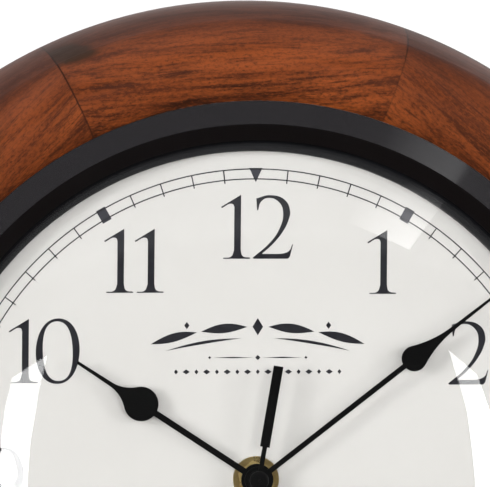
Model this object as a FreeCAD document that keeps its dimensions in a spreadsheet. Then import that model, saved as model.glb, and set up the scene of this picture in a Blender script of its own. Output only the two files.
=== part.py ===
import FreeCAD, Part
import math
import os
import re
import Sketcher

# Mantel clock: a round wooden head of eight glued segments with a black bezel,
# a domed glass and a paper dial, standing on a low wooden base, with a battery
# quartz movement behind the dial and a hinged door in the back panel.
#
# The head's parts are drawn in the head's own frame: X to the right, Y up and
# Z towards the viewer, about the axis that the hands turn on. "stand" lifts
# that frame onto the base, where the viewer's side becomes -Y.

# name, size in mm (angles in degrees), what it is
DRIVING = [
    ("centre_height", 158.5, "hand axis above the surface the clock stands on"),
    ("ring_radius", 146, "widest radius of the wooden ring"),
    ("ring_bore", 114.2, "inner edge of the wood, where the bezel starts"),
    ("ring_crown_radius", 126, "radius of the ring's highest line"),
    ("ring_front", 27, "height of that line"),
    ("ring_back", -27, "rear face of the ring"),
    ("ring_inner_edge", 21.5, "height of the wood's inner edge"),
    ("shoulder_radius", 138.85, "where the tight front curve meets the long side curve"),
    ("shoulder_height", 18.55, "height of the same line"),
    ("front_curve", 14, "curve radius outside the crown"),
    ("inside_curve", 15.4, "curve radius inside the crown"),
    ("side_curve", 87.1, "curve radius of the ring's side"),
    ("widest_height", -16, "height of the ring's widest line"),
    ("back_bevel", 2.5, "bevel at the ring's rear edge"),
    ("seam_angle", 19.1, "first segment seam, clockwise from the top"),
    ("board_rebate", 120, "bore that the dial board drops into from behind"),
    ("panel_rebate", 126, "wider bore for the back panel"),
    ("board_radius", 119.5, "dial board"),
    ("board_back", 7.7, "rear face of the dial board"),
    ("board_front", 10.7, "front face of the dial board"),
    ("dial_front", 11, "front face of the dial paper"),
    ("glass_rim_back", 17, "underside of the glass rim"),
    ("glass_rim_front", 19, "top of the glass rim"),
    ("glass_rim_radius", 104.6, "edge of the glass, the spacer and the paper"),
    ("dome_radius", 101.5, "where the dome starts on the glass"),
    ("dome_rise", 16, "rise of the dome"),
    ("glass_thickness", 2, "glass thickness"),
    ("gasket_front", 19.4, "top of the gasket over the rim"),
    ("gasket_inside", 102.8, "inner radius of the gasket"),
    ("spacer_bore", 99, "inner radius of the dark lip round the dial"),
    ("spacer_round", 2, "rounding of that lip"),
    ("bezel_outside", 114.1, "bezel, a glue line smaller than the wood's bore"),
    ("bezel_outer_height", 21.6, "bezel height beside the wood"),
    ("bezel_flat_inside", 107.2, "inner edge of the satin band"),
    ("bezel_flat_height", 23.5, "height of that edge"),
    ("bezel_bore", 102.3, "inner edge of the sloping wall over the glass"),
    ("bezel_lip", 20, "top of the bezel's lip"),
    ("bezel_pocket", 105, "bore that holds the glass and spacer"),
    ("panel_back", -26, "outer face of the back panel and door"),
    ("panel_front", -23, "inner face of the back panel and door"),
    ("panel_radius", 125.5, "back panel"),
    ("opening_half", 42, "half of the door opening's side"),
    ("door_half", 41.5, "half of the door's side"),
    ("panel_screw_circle", 123, "radius that the back panel screws lie on"),
    ("board_screw_circle", 117, "radius that the dial board screws lie on"),
    ("screw_core", 1.2, "shank radius of the wood screws"),
    ("screw_head", 2.4, "head radius of the wood screws"),
    ("screw_head_height", 1.2, "head height of the wood screws"),
    ("screw_tip", 2, "length of their points"),
    ("board_screw_end", 17, "point of the dial board screws"),
    ("panel_screw_end", -14, "point of the back panel screws"),
    ("pull_across", -34, "door pull, from the middle of the door"),
    ("pull_stem", 2, "stem radius of the door pull"),
    ("pull_stem_length", 3, "length of that stem"),
    ("pull_hollow", 2.2, "hollow curve from the stem to the knob"),
    ("pull_radius", 4.5, "widest radius of the pull"),
    ("pull_widest", 4.6, "from the door to the widest line"),
    ("pull_round", 1.4, "rounding in front of that line"),
    ("pull_face", 3.2, "radius of the pull's flat end"),
    ("pull_height", 6, "how far the pull stands out"),
    ("strike_left", -40.5, "steel strike inside the door, left edge"),
    ("strike_right", -33, "right edge of the strike"),
    ("strike_half", 4, "half the strike's height"),
    ("strike_thickness", 0.5, "sheet thickness of the strike"),
    ("catch_left", -54, "magnet catch on the panel, left edge"),
    ("catch_foot_right", -42, "right edge of its foot, beside the opening"),
    ("catch_right", -36, "right edge of its nose, over the door"),
    ("catch_half", 6, "half the foot's height"),
    ("catch_nose_half", 5, "half the nose's height"),
    ("catch_thickness", 6, "thickness of the catch"),
    ("catch_gap", 0.6, "from the door to the nose"),
    ("pin_across", 41.75, "hinge pin, to the right of the centre"),
    ("pin_depth", -27.7, "hinge pin, behind the dial plane"),
    ("pin_radius", 0.8, "hinge pin radius"),
    ("knuckle_radius", 1.6, "hinge knuckle radius"),
    ("knuckle_split", 4, "half height of the door's knuckle"),
    ("hinge_half", 12, "half height of the hinge"),
    ("leaf_back", -26.8, "outer face of the hinge leaves"),
    ("leaf_gap", 1.95, "leaf edge from the pin beside the other leaf's knuckle"),
    ("leaf_reach", 12, "width of a leaf from the pin"),
    ("pad_height", 2, "felt pads under the base"),
    ("pad_radius", 6, "felt pad radius"),
    ("pad_across", 92, "pads, from the middle"),
    ("pad_depth", 34, "pads, from the middle, front to back"),
    ("slab_width", 220, "base slab"),
    ("slab_depth", 92, "base slab, front to back"),
    ("slab_top", 12, "top of the base slab"),
    ("slab_bevel", 3, "bevel round the top of the slab"),
    ("cradle_radius", 146.3, "curve that the ring rests in"),
    ("cheek_half_depth", 30, "half the depth of a cheek"),
    ("cheek_inside", 24, "inner end of a cheek"),
    ("cheek_peak", 80, "highest point of a cheek, from the middle"),
    ("cheek_outside", 95, "outer end of a cheek"),
    ("cheek_toe", 20, "height of a cheek's outer end"),
    ("cheek_curve", 20, "hollow curve at a cheek's outer end"),
    ("base_screw_across", 60, "screws into the cheeks"),
    ("base_screw_depth", 20, "screws into the cheeks, front to back"),
    ("base_screw_head", 3, "head radius of the screws under the base"),
    ("base_screw_end", 22, "point of the cheek screws"),
    ("ring_screw_across", 14, "screws into the ring"),
    ("ring_screw_end", 27, "point of the ring screws"),
    ("case_half", 28, "half the side of the movement"),
    ("case_wall", 1.5, "wall of the movement's case"),
    ("case_front", 6.9, "front face of the movement"),
    ("case_inside", 5.4, "inner face of the case front"),
    ("case_rim", -7.6, "rear edge of the case, where the cover sits"),
    ("cover_back", -9.1, "rear face of the cover"),
    ("divider_top", -11, "top of the wall above the battery bay"),
    ("divider_bottom", -11.9, "bottom of that wall"),
    ("bushing_radius", 4, "threaded bushing"),
    ("bushing_bore", 2.65, "bore of the bushing"),
    ("bushing_front", 14.6, "front end of the bushing"),
    ("bushing_play", 0.1, "gap round the bushing in board, paper and washer"),
    ("bushing_bevel", 0.4, "bevel at the bushing's front end"),
    ("flange_radius", 6, "flange of the bushing inside the case"),
    ("flange_thickness", 0.4, "thickness of that flange"),
    ("rubber_radius", 11, "rubber washer between case and board"),
    ("washer_radius", 6.95, "brass washer"),
    ("washer_front", 11.6, "front face of the brass washer"),
    ("nut_flats", 10, "hexagon nut across its flats"),
    ("nut_front", 13.8, "front face of the nut"),
    ("nut_turn", 12, "how far the nut is turned from upright corners"),
    ("hour_pipe", 2.55, "hour pipe, outside"),
    ("hour_pipe_bore", 1.9, "hour pipe, inside"),
    ("minute_tube", 1.8, "minute tube, outside"),
    ("minute_tube_bore", 0.65, "minute tube, inside"),
    ("seconds_arbor", 0.55, "seconds arbor"),
    ("hour_boss", 3.4, "boss behind the hour hand's hub"),
    ("hour_boss_back", 14.9, "rear face of that boss"),
    ("hour_boss_front", 16.1, "front end of that boss"),
    ("hour_angle", -56.8, "hour hand at rest, clockwise from the top"),
    ("hour_back", 15.2, "rear face of the hour hand"),
    ("hour_hub", 4.83, "hub disc of the hour hand"),
    ("hour_rod", 0.95, "half width of the hour hand's rod"),
    ("hour_bulb_at", 41.9, "centre of the hour hand's bulb"),
    ("hour_bulb", 5.2, "radius of that bulb"),
    ("hour_shoulder_along", 3.68, "from the bulb's centre to where its shoulder starts"),
    ("hour_shoulder_side", 3.68, "half width there"),
    ("hour_shoulder_curve", 10.6, "hollow curve of the shoulder"),
    ("hour_neck_at", 53, "where the shoulder meets the tip"),
    ("hour_neck", 0.65, "half width there"),
    ("hour_tip_at", 64.9, "end of the hour hand"),
    ("hour_tip", 0.45, "half width of its end"),
    ("minute_boss", 2.7, "boss of the minute hand"),
    ("minute_boss_back", 17.2, "rear face of that boss"),
    ("minute_boss_front", 18.3, "front end of that boss"),
    ("minute_angle", 52.4, "minute hand at rest, clockwise from the top"),
    ("minute_back", 17.6, "rear face of the minute hand"),
    ("minute_hub", 4.05, "hub disc of the minute hand"),
    ("minute_rod", 0.8, "half width of the minute hand's rod"),
    ("minute_bulb_at", 59.7, "centre of the minute hand's bulb"),
    ("minute_bulb", 3.85, "radius of that bulb"),
    ("minute_shoulder_along", 1.57, "from the bulb's centre to where its shoulder starts"),
    ("minute_shoulder_side", 3.515, "half width there"),
    ("minute_shoulder_curve", 33.5, "hollow curve of the shoulder"),
    ("minute_neck_at", 75, "where the shoulder meets the tip"),
    ("minute_neck", 0.6, "half width there"),
    ("minute_tip_at", 91, "end of the minute hand"),
    ("minute_tip", 0.35, "half width of its end"),
    ("hand_thickness", 0.5, "sheet that the hands are stamped from"),
    ("second_angle", 189.8, "second hand at rest, clockwise from the top"),
    ("second_back", 20, "rear face of the second hand"),
    ("second_hub", 3.2, "hub disc of the second hand"),
    ("second_stem", 0.7, "half width of the stem to the counterweight"),
    ("second_bar", 1.45, "half width of the counterweight bar"),
    ("second_bar_start", 10.2, "inner end of the bar"),
    ("second_bar_end", 34.8, "outer end of the bar"),
    ("second_thickness", 0.4, "sheet that the second hand is stamped from"),
    ("second_boss", 1.3, "boss of the second hand"),
    ("second_boss_length", 1.1, "length of that boss"),
    ("cap_radius", 2.9, "cap over the second hand's hub"),
    ("cap_face", 1.9, "radius of the cap's flat top"),
    ("cap_round", 1.2, "rounding round that top"),
    ("cap_shoulder", 21.2, "where that rounding starts"),
    ("cap_front", 21.9, "front face of the cap"),
    ("second_reach", 88, "pointing end of the second hand"),
    ("second_point", 0.3, "half width of its end"),
    ("battery_radius", 7.25, "battery"),
    ("battery_half", 25.25, "half the battery's length"),
    ("battery_up", -19.2, "battery axis from the hand axis"),
    ("battery_out", -2.2, "battery axis from the middle plane"),
]
SIZES = {name: size for name, size, _ in DRIVING}

SEGMENTS = 8

# The train runs from the rotor through the step, seconds and third wheels to
# the centre wheel, and on through the reverse wheel to the hour wheel. The
# seconds, centre and hour wheels share one axis, so the modules of two of the
# meshes follow from the distances of the meshes beside them.
TEETH = {
    "rotor_pinion": 10,
    "step_wheel": 50,
    "step_pinion": 10,
    "seconds_wheel": 60,
    "seconds_pinion": 8,
    "third_wheel": 64,
    "third_pinion": 8,
    "centre_wheel": 60,
    "cannon_pinion": 16,
    "reverse_wheel": 48,
    "reverse_pinion": 12,
    "hour_wheel": 48,
    "setting_pinion": 16,
}


def teeth_of(pinion, wheel):
    return TEETH[pinion] + TEETH[wheel]


TRAIN_MODULE = 0.25
CANNON_MODULE = 0.3
STEP_DISTANCE = TRAIN_MODULE * teeth_of("step_pinion", "seconds_wheel") / 2
ROTOR_DISTANCE = TRAIN_MODULE * teeth_of("rotor_pinion", "step_wheel") / 2
THIRD_DISTANCE = TRAIN_MODULE * teeth_of("seconds_pinion", "third_wheel") / 2
REVERSE_DISTANCE = CANNON_MODULE * teeth_of("cannon_pinion", "reverse_wheel") / 2
CENTRE_MODULE = 2 * THIRD_DISTANCE / teeth_of("third_pinion", "centre_wheel")
HOUR_MODULE = 2 * REVERSE_DISTANCE / teeth_of("reverse_pinion", "hour_wheel")
ROTOR_DIRECTION = math.radians(30)
SETTING_DIRECTION = math.radians(120)
STEP_AT = (STEP_DISTANCE, 0)
ROTOR_AT = (
    STEP_DISTANCE + ROTOR_DISTANCE * math.cos(ROTOR_DIRECTION),
    ROTOR_DISTANCE * math.sin(ROTOR_DIRECTION),
)
THIRD_AT = (0, THIRD_DISTANCE)
REVERSE_AT = (-REVERSE_DISTANCE, 0)
SETTING_AT = (
    -REVERSE_DISTANCE + REVERSE_DISTANCE * math.cos(SETTING_DIRECTION),
    REVERSE_DISTANCE * math.sin(SETTING_DIRECTION),
)

document = FreeCAD.newDocument("MantelClock")
sheet = document.addObject("Spreadsheet::Sheet", "Sizes")
for row, (name, size, meaning) in enumerate(DRIVING, start=1):
    sheet.set(f"A{row}", meaning)
    sheet.set(f"B{row}", f"{size:g}")
    sheet.setAlias(f"B{row}", name)
document.recompute()

finished = []


def bound(text):
    """An expression with each size's name pointing into the sheet."""
    return re.sub(
        r"[a-z][a-z0-9_]*",
        lambda word: f"Sizes.{word.group(0)}" if word.group(0) in SIZES else word.group(0),
        str(text),
    )


def value(text):
    """The number that an expression of sheet sizes comes to."""
    return float(sheet.evalExpression(bound(text)))


def stand(part, across=0, up=0, turn=0):
    """Puts a part drawn in the head's frame where it belongs over the base."""
    lean = FreeCAD.Rotation(FreeCAD.Vector(1, 0, 0), 90)
    spin = FreeCAD.Rotation(FreeCAD.Vector(0, 0, 1), turn)
    height = value(f"centre_height + {up}")
    part.Placement = FreeCAD.Placement(FreeCAD.Vector(across, 0, height), lean.multiply(spin))
    part.setExpression("Placement.Base.z", bound(f"centre_height + {up}"))
    finished.append(part)
    return part


def put_on_floor(part):
    """Keeps a part that is drawn in the clock's own frame."""
    finished.append(part)
    return part


def new_body(label):
    body = document.addObject("PartDesign::Body", label)
    body.Label = label
    return body


def new_sketch(body, role, name, lift="0"):
    """A sketch on one of the body's origin planes, lifted along its normal."""
    plane = next(item for item in body.Origin.OriginFeatures if item.Role == role)
    sketch = body.newObject("Sketcher::SketchObject", f"{body.Name}_{name}")
    sketch.AttachmentSupport = [(plane, "")]
    sketch.MapMode = "FlatFace"
    raised = FreeCAD.Vector(0, 0, value(lift))
    sketch.AttachmentOffset = FreeCAD.Placement(raised, FreeCAD.Rotation())
    if lift != "0":
        sketch.setExpression("AttachmentOffset.Base.z", bound(lift))
    return sketch


def pin_point(sketch, geometry, end, across, up):
    """Holds one end of a line or arc at a place worked out from the sheet."""
    for kind, text in (("DistanceX", across), ("DistanceY", up)):
        if abs(value(text)) < 1e-9:
            on_axis = -2 if kind == "DistanceX" else -1
            sketch.addConstraint(Sketcher.Constraint("PointOnObject", geometry, end, on_axis))
            continue
        held = sketch.addConstraint(Sketcher.Constraint(kind, -1, 1, geometry, end, value(text)))
        sketch.setExpression(f"Constraints[{held}]", bound(text))


def arc_between(start, end, radius, side):
    """An arc from start to end. FreeCAD's arcs run anticlockwise, so one that
    bulges to the left of the way it runs is drawn from its end to its start."""
    chord = end - start
    left = FreeCAD.Vector(-chord.y, chord.x, 0).normalize()
    sag = math.sqrt(max(radius**2 - chord.Length**2 / 4, 0))
    centre = start + chord / 2 - left * sag * side
    first, last = (end, start) if side > 0 else (start, end)
    first_angle = math.atan2(first.y - centre.y, first.x - centre.x)
    last_angle = math.atan2(last.y - centre.y, last.x - centre.x)
    if last_angle <= first_angle:
        last_angle += 2 * math.pi
    circle = Part.Circle(centre, FreeCAD.Vector(0, 0, 1), radius)
    return Part.ArcOfCircle(circle, first_angle, last_angle)


def draw_outline(sketch, points):
    """A closed outline. A point is (across, up), and two more entries make the
    edge to the next point an arc: its radius, then +1 to bulge to the left
    of the way the outline runs or -1 to the right."""
    first = sketch.GeometryCount
    corners = [FreeCAD.Vector(value(point[0]), value(point[1]), 0) for point in points]
    reversed_edges = [len(point) > 2 and point[3] > 0 for point in points]
    for index, point in enumerate(points):
        start = corners[index]
        end = corners[(index + 1) % len(points)]
        if len(point) == 2:
            sketch.addGeometry(Part.LineSegment(start, end), False)
        else:
            sketch.addGeometry(arc_between(start, end, value(point[2]), point[3]), False)
    for index, point in enumerate(points):
        following = (index + 1) % len(points)
        start_end = 2 if reversed_edges[index] else 1
        pin_point(sketch, first + index, start_end, point[0], point[1])
        next_start = 2 if reversed_edges[following] else 1
        meeting = (first + index, 3 - start_end, first + following, next_start)
        sketch.addConstraint(Sketcher.Constraint("Coincident", *meeting))
        if len(point) > 2:
            held = sketch.addConstraint(
                Sketcher.Constraint("Radius", first + index, value(point[2]))
            )
            sketch.setExpression(f"Constraints[{held}]", bound(point[2]))


def draw_circle(sketch, across, up, radius):
    centre = FreeCAD.Vector(value(across), value(up), 0)
    circle = Part.Circle(centre, FreeCAD.Vector(0, 0, 1), value(radius))
    geometry = sketch.addGeometry(circle, False)
    pin_point(sketch, geometry, 3, across, up)
    held = sketch.addConstraint(Sketcher.Constraint("Radius", geometry, value(radius)))
    sketch.setExpression(f"Constraints[{held}]", bound(radius))


def box_outline(left, right, low, high):
    return [(left, low), (right, low), (right, high), (left, high)]


def square_outline(half):
    return box_outline(f"-{half}", half, f"-{half}", half)


def draw_all(sketch, outlines, circles):
    for outline in outlines:
        draw_outline(sketch, outline)
    for circle in circles:
        draw_circle(sketch, *circle)


def turn_profile(body, outline, angle=360):
    """Turns an outline of (radius, height) points about the body's Z axis."""
    sketch = new_sketch(body, "XZ_Plane", "profile")
    draw_outline(sketch, outline)
    feature = body.newObject("PartDesign::Revolution", f"{body.Name}_turned")
    feature.Profile = (sketch, [""])
    feature.ReferenceAxis = (sketch, ["V_Axis"])
    feature.Angle = angle
    feature.Midplane = angle < 360
    return feature


def pad_between(body, name, back, front, outlines=(), circles=()):
    sketch = new_sketch(body, "XY_Plane", name, back)
    draw_all(sketch, outlines, circles)
    feature = body.newObject("PartDesign::Pad", f"{body.Name}_{name}_pad")
    feature.Profile = (sketch, [""])
    feature.setExpression("Length", bound(f"{front} - ({back})"))
    return feature


def pocket_between(body, name, back, front, outlines=(), circles=()):
    """Cuts from the front height down to the back height."""
    document.recompute()
    before = body.Shape.Volume
    sketch = new_sketch(body, "XY_Plane", name, front)
    draw_all(sketch, outlines, circles)
    feature = body.newObject("PartDesign::Pocket", f"{body.Name}_{name}_pocket")
    feature.Profile = (sketch, [""])
    feature.setExpression("Length", bound(f"{front} - ({back})"))
    document.recompute()
    if body.Shape.Volume > before - 1e-6:
        raise RuntimeError(f"{body.Label}: pocket {name} cut nothing")
    return feature


def turned(label, outline):
    body = new_body(label)
    turn_profile(body, outline)
    return body


def plate(label, back, front, outlines=(), circles=()):
    body = new_body(label)
    pad_between(body, "plate", back, front, outlines, circles)
    return body


def solid_feature(label, shape):
    """A part whose outline comes from a formula, such as a gear."""
    feature = document.addObject("Part::Feature", label)
    feature.Label = label
    feature.Shape = shape
    return feature


def cylinder(radius, low, high, x=0, y=0):
    return Part.makeCylinder(radius, high - low, FreeCAD.Vector(x, y, low))


# ---------------------------------------------------------------- wooden ring


def ring_segment(number):
    """One of the eight straight-grained pieces that the ring is glued from."""
    body = new_body(f"ring_segment_{number}")
    turn_profile(
        body,
        [
            ("ring_bore", "board_front"),
            ("ring_bore", "ring_inner_edge", "inside_curve", 1),
            ("ring_crown_radius", "ring_front", "front_curve", 1),
            ("shoulder_radius", "shoulder_height", "side_curve", 1),
            ("ring_radius", "widest_height"),
            ("ring_radius", "ring_back + back_bevel"),
            ("ring_radius - back_bevel", "ring_back"),
            ("panel_rebate", "ring_back"),
            ("panel_rebate", "panel_front"),
            ("board_rebate", "panel_front"),
            ("board_rebate", "board_front"),
        ],
        360 / SEGMENTS,
    )
    board_hole = [("board_screw_circle", 0, "screw_core")]
    pocket_between(body, "board_hole", "board_front", "board_screw_end", circles=board_hole)
    panel_hole = [("panel_screw_circle", 0, "screw_core")]
    pocket_between(body, "panel_hole", "panel_front", "panel_screw_end", circles=panel_hole)
    return body


def segment_middle(number):
    """Where a segment's middle lies, clockwise from the top."""
    return value("seam_angle") + (number - 1.5) * 360 / SEGMENTS


def upright_cylinders(places, radius, low, high):
    return Part.makeCompound([cylinder(radius, low, high, x, y) for x, y in places])


RING_SCREWS = [(-value("ring_screw_across"), 0), (value("ring_screw_across"), 0)]
BOTTOM_SEGMENT = 5

for number in range(1, SEGMENTS + 1):
    segment = ring_segment(number)
    stand(segment, turn=90 - segment_middle(number))
    if number != BOTTOM_SEGMENT:
        continue
    # the lowest segment also takes the two screws that come up from the base
    finished.remove(segment)
    segment.Label = "lowest_segment_blank"
    holes = solid_feature(
        "ring_screw_holes",
        upright_cylinders(RING_SCREWS, value("screw_core"), 0, value("ring_screw_end")),
    )
    drilled = document.addObject("Part::Cut", "lowest_segment")
    drilled.Base = segment
    drilled.Tool = holes
    drilled.Label = f"ring_segment_{number}"
    finished.append(drilled)


def countersunk(core, head, head_height, tip, length):
    """A wood screw with its head's flat face at 0 and its point at length."""
    cone = Part.makeCone(head, core, head_height)
    shank = cylinder(core, head_height, length - tip)
    blunt_end = core / 4
    point = Part.makeCone(core, blunt_end, tip, FreeCAD.Vector(0, 0, length - tip))
    return cone.fuse([shank, point]).removeSplitter()


def screw_group(label, places, start, end):
    """Identical screws: each place is (x, y), and they run along Z."""
    screw = countersunk(
        value("screw_core"),
        value("screw_head"),
        value("screw_head_height"),
        value("screw_tip"),
        abs(end - start),
    )
    if end < start:
        screw = screw.mirror(FreeCAD.Vector(0, 0, 0), FreeCAD.Vector(0, 0, 1))
    copies = []
    for x, y in places:
        copies.append(screw.translated(FreeCAD.Vector(x, y, start)))
    return solid_feature(label, Part.makeCompound(copies))


def segment_circle(radius):
    """One place in the middle of each segment on a circle."""
    places = []
    for number in range(1, SEGMENTS + 1):
        angle = math.radians(segment_middle(number))
        places.append((radius * math.sin(angle), radius * math.cos(angle)))
    return places


# ------------------------------------------------------- glass, dial and panel

stand(
    turned(
        "bezel_ring",
        [
            ("bezel_outside", "board_front"),
            ("bezel_outside", "bezel_outer_height"),
            ("bezel_flat_inside", "bezel_flat_height"),
            ("bezel_bore", "bezel_lip"),
            ("bezel_bore", "gasket_front"),
            ("bezel_pocket", "gasket_front"),
            ("bezel_pocket", "board_front"),
        ],
    )
)

# the sphere through the rim's circle and the top of the dome
DOME_CURVE = "(dome_radius ^ 2 + dome_rise ^ 2) / (2 * dome_rise)"

stand(
    turned(
        "dome_glass",
        [
            (0, "glass_rim_back + dome_rise", DOME_CURVE, 1),
            ("dome_radius", "glass_rim_back"),
            ("glass_rim_radius", "glass_rim_back"),
            ("glass_rim_radius", "glass_rim_front"),
            ("dome_radius", "glass_rim_front", DOME_CURVE, -1),
            (0, "glass_rim_front + dome_rise"),
        ],
    )
)

stand(
    turned(
        "glass_gasket",
        box_outline("gasket_inside", "glass_rim_radius", "glass_rim_front", "gasket_front"),
    )
)

stand(
    turned(
        "dial_spacer_ring",
        [
            ("spacer_bore", "dial_front"),
            ("glass_rim_radius", "dial_front"),
            ("glass_rim_radius", "glass_rim_back"),
            ("spacer_bore + spacer_round", "glass_rim_back", "spacer_round", -1),
            ("spacer_bore", "glass_rim_back - spacer_round"),
        ],
    )
)

stand(
    plate(
        "dial_paper",
        "board_front",
        "dial_front",
        circles=[(0, 0, "glass_rim_radius"), (0, 0, "bushing_radius + bushing_play")],
    )
)

board = new_body("dial_board")
pad_between(
    board,
    "board",
    "board_back",
    "board_front",
    circles=[(0, 0, "board_radius"), (0, 0, "bushing_radius + bushing_play")],
)


def pocket_screw_ring(body, circle, back, front, core):
    """One screw hole, repeated for each segment."""
    angle = math.radians(segment_middle(1))
    place = (f"{circle} * {math.sin(angle):.6f}", f"{circle} * {math.cos(angle):.6f}", core)
    hole = pocket_between(body, "screw_hole", back, front, circles=[place])
    pattern = body.newObject("PartDesign::PolarPattern", f"{body.Name}_screw_holes")
    pattern.Originals = [hole]
    axis = next(item for item in body.Origin.OriginFeatures if item.Role == "Z_Axis")
    pattern.Axis = (axis, [""])
    pattern.Angle = 360
    pattern.Occurrences = SEGMENTS
    body.Tip = pattern


pocket_screw_ring(board, "board_screw_circle", "board_back", "board_front", "screw_head")
stand(board)

stand(
    screw_group(
        "dial_board_screws",
        segment_circle(value("board_screw_circle")),
        value("board_front - screw_head_height"),
        value("board_screw_end"),
    )
)

panel = new_body("back_panel")
pad_between(
    panel,
    "panel",
    "panel_back",
    "panel_front",
    outlines=[square_outline("opening_half")],
    circles=[(0, 0, "panel_radius")],
)
pocket_screw_ring(panel, "panel_screw_circle", "panel_back", "panel_front", "screw_head")
stand(panel)

stand(
    screw_group(
        "back_panel_screws",
        segment_circle(value("panel_screw_circle")),
        value("panel_front - screw_head_height"),
        value("panel_screw_end"),
    )
)

# ------------------------------------------------------------------ back door

door_outline = square_outline("door_half")
stand(plate("access_door", "panel_back", "panel_front", outlines=[door_outline]))

stand(
    turned(
        "door_pull",
        [
            (0, "panel_back"),
            ("pull_stem", "panel_back"),
            ("pull_stem", "panel_back - pull_stem_length", "pull_hollow", 1),
            ("pull_radius", "panel_back - pull_widest", "pull_round", -1),
            ("pull_face", "panel_back - pull_height"),
            (0, "panel_back - pull_height"),
        ],
    ),
    across=value("pull_across"),
)

PIN = FreeCAD.Vector(value("pin_across"), 0, value("pin_depth"))


def upright_tube(radius, low, high):
    """A cylinder along the hinge pin, which runs up the head's Y axis."""
    start = FreeCAD.Vector(PIN.x, low, PIN.z)
    return Part.makeCylinder(radius, high - low, start, FreeCAD.Vector(0, 1, 0))


def flat_box(left, right, low, high, back, front):
    corner = FreeCAD.Vector(left, low, back)
    return Part.makeBox(right - left, high - low, front - back, corner)


def hinge_leaf(side, spans, bore):
    """A leaf on the side -1 or +1 of the pin, with knuckles over the spans."""
    reach = sorted((PIN.x + side * value("leaf_gap"), PIN.x + side * value("leaf_reach")))
    root = sorted((PIN.x, PIN.x + side * value("leaf_gap")))
    back = value("leaf_back")
    front = value("panel_back")
    tall = value("hinge_half")
    leaf = flat_box(reach[0], reach[1], -tall, tall, back, front)
    for low, high in spans:
        leaf = leaf.fuse(flat_box(root[0], root[1], low, high, back, front))
        leaf = leaf.fuse(upright_tube(value("knuckle_radius"), low, high))
    return leaf.cut(upright_tube(bore, -tall - 1, tall + 1)).removeSplitter()


KNUCKLE_SPLIT = value("knuckle_split")
HINGE_HALF = value("hinge_half")
PIN_RADIUS = value("pin_radius")
KNUCKLE_GAP = 0.1
PIN_PLAY = 0.05

moving_knuckle = (KNUCKLE_GAP - KNUCKLE_SPLIT, KNUCKLE_SPLIT - KNUCKLE_GAP)
moving_leaf = hinge_leaf(-1, [moving_knuckle], PIN_RADIUS + PIN_PLAY)
stand(solid_feature("door_hinge_leaf", moving_leaf))
fixed_knuckles = [(-HINGE_HALF, -KNUCKLE_SPLIT), (KNUCKLE_SPLIT, HINGE_HALF)]
fixed_leaf = hinge_leaf(1, fixed_knuckles, PIN_RADIUS)
stand(solid_feature("frame_hinge_leaf", fixed_leaf))
stand(solid_feature("hinge_pin", upright_tube(PIN_RADIUS, -HINGE_HALF, HINGE_HALF)))

strike_front = "panel_front + strike_thickness"
strike_outline = box_outline("strike_left", "strike_right", "-strike_half", "strike_half")
stand(plate("door_strike", "panel_front", strike_front, outlines=[strike_outline]))
catch = new_body("magnet_catch")
catch_front = "panel_front + catch_thickness"
catch_foot = box_outline("catch_left", "catch_foot_right", "-catch_half", "catch_half")
pad_between(catch, "foot", "panel_front", catch_front, outlines=[catch_foot])
catch_nose = box_outline(
    "catch_foot_right", "catch_right", "-catch_nose_half", "catch_nose_half"
)
pad_between(catch, "nose", "panel_front + catch_gap", catch_front, outlines=[catch_nose])
stand(catch)

# ----------------------------------------------------------------------- base

slab_holes = []
for x_side in (-1, 1):
    slab_holes.append((f"{x_side} * ring_screw_across", 0, "screw_core"))
    for y_side in (-1, 1):
        across = f"{x_side} * base_screw_across"
        slab_holes.append((across, f"{y_side} * base_screw_depth", "screw_core"))

slab = new_body("base_slab")
slab_outline = box_outline(
    "-slab_width / 2", "slab_width / 2", "-slab_depth / 2", "slab_depth / 2"
)
slab_pad = pad_between(slab, "slab", "pad_height", "slab_top", [slab_outline], slab_holes)
document.recompute()
top_height = value("slab_top")
top_edges = []
for index, edge in enumerate(slab.Tip.Shape.Edges, start=1):
    box = edge.BoundBox
    at_top = abs(box.ZMin - top_height) < 1e-6 and abs(box.ZMax - top_height) < 1e-6
    if at_top and edge.Curve.TypeId == "Part::GeomLine":
        top_edges.append(f"Edge{index}")
bevel = slab.newObject("PartDesign::Chamfer", "slab_top_bevel")
bevel.Base = (slab_pad, top_edges)
bevel.setExpression("Size", bound("slab_bevel"))
put_on_floor(slab)


def base_cheek(label, side):
    """A block beside the ring, hollowed to its curve."""
    body = new_body(label)
    sketch = new_sketch(body, "XZ_Plane", "profile")
    peak = "centre_height - sqrt(cradle_radius ^ 2 - cheek_peak ^ 2)"
    inside = "centre_height - sqrt(cradle_radius ^ 2 - cheek_inside ^ 2)"
    draw_outline(
        sketch,
        [
            (f"{side} * cheek_inside", "slab_top"),
            (f"{side} * cheek_outside", "slab_top"),
            (f"{side} * cheek_outside", "cheek_toe", "cheek_curve", side),
            (f"{side} * cheek_peak", peak, "cradle_radius", side),
            (f"{side} * cheek_inside", inside),
        ],
    )
    pad = body.newObject("PartDesign::Pad", f"{body.Name}_pad")
    pad.Profile = (sketch, [""])
    pad.Midplane = True
    pad.setExpression("Length", bound("2 * cheek_half_depth"))
    holes = [
        (f"{side} * base_screw_across", f"{y_side} * base_screw_depth", "screw_core")
        for y_side in (-1, 1)
    ]
    pocket_between(body, "screw_hole", "slab_top", "base_screw_end", circles=holes)
    return body


put_on_floor(base_cheek("base_cheek_left", -1))
put_on_floor(base_cheek("base_cheek_right", 1))

cheek_screw_places = [
    (x_side * value("base_screw_across"), y_side * value("base_screw_depth"))
    for x_side in (-1, 1)
    for y_side in (-1, 1)
]


def panhead(core, head, head_height, length):
    return Part.makeCylinder(head, head_height).fuse(cylinder(core, head_height, length))


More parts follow.
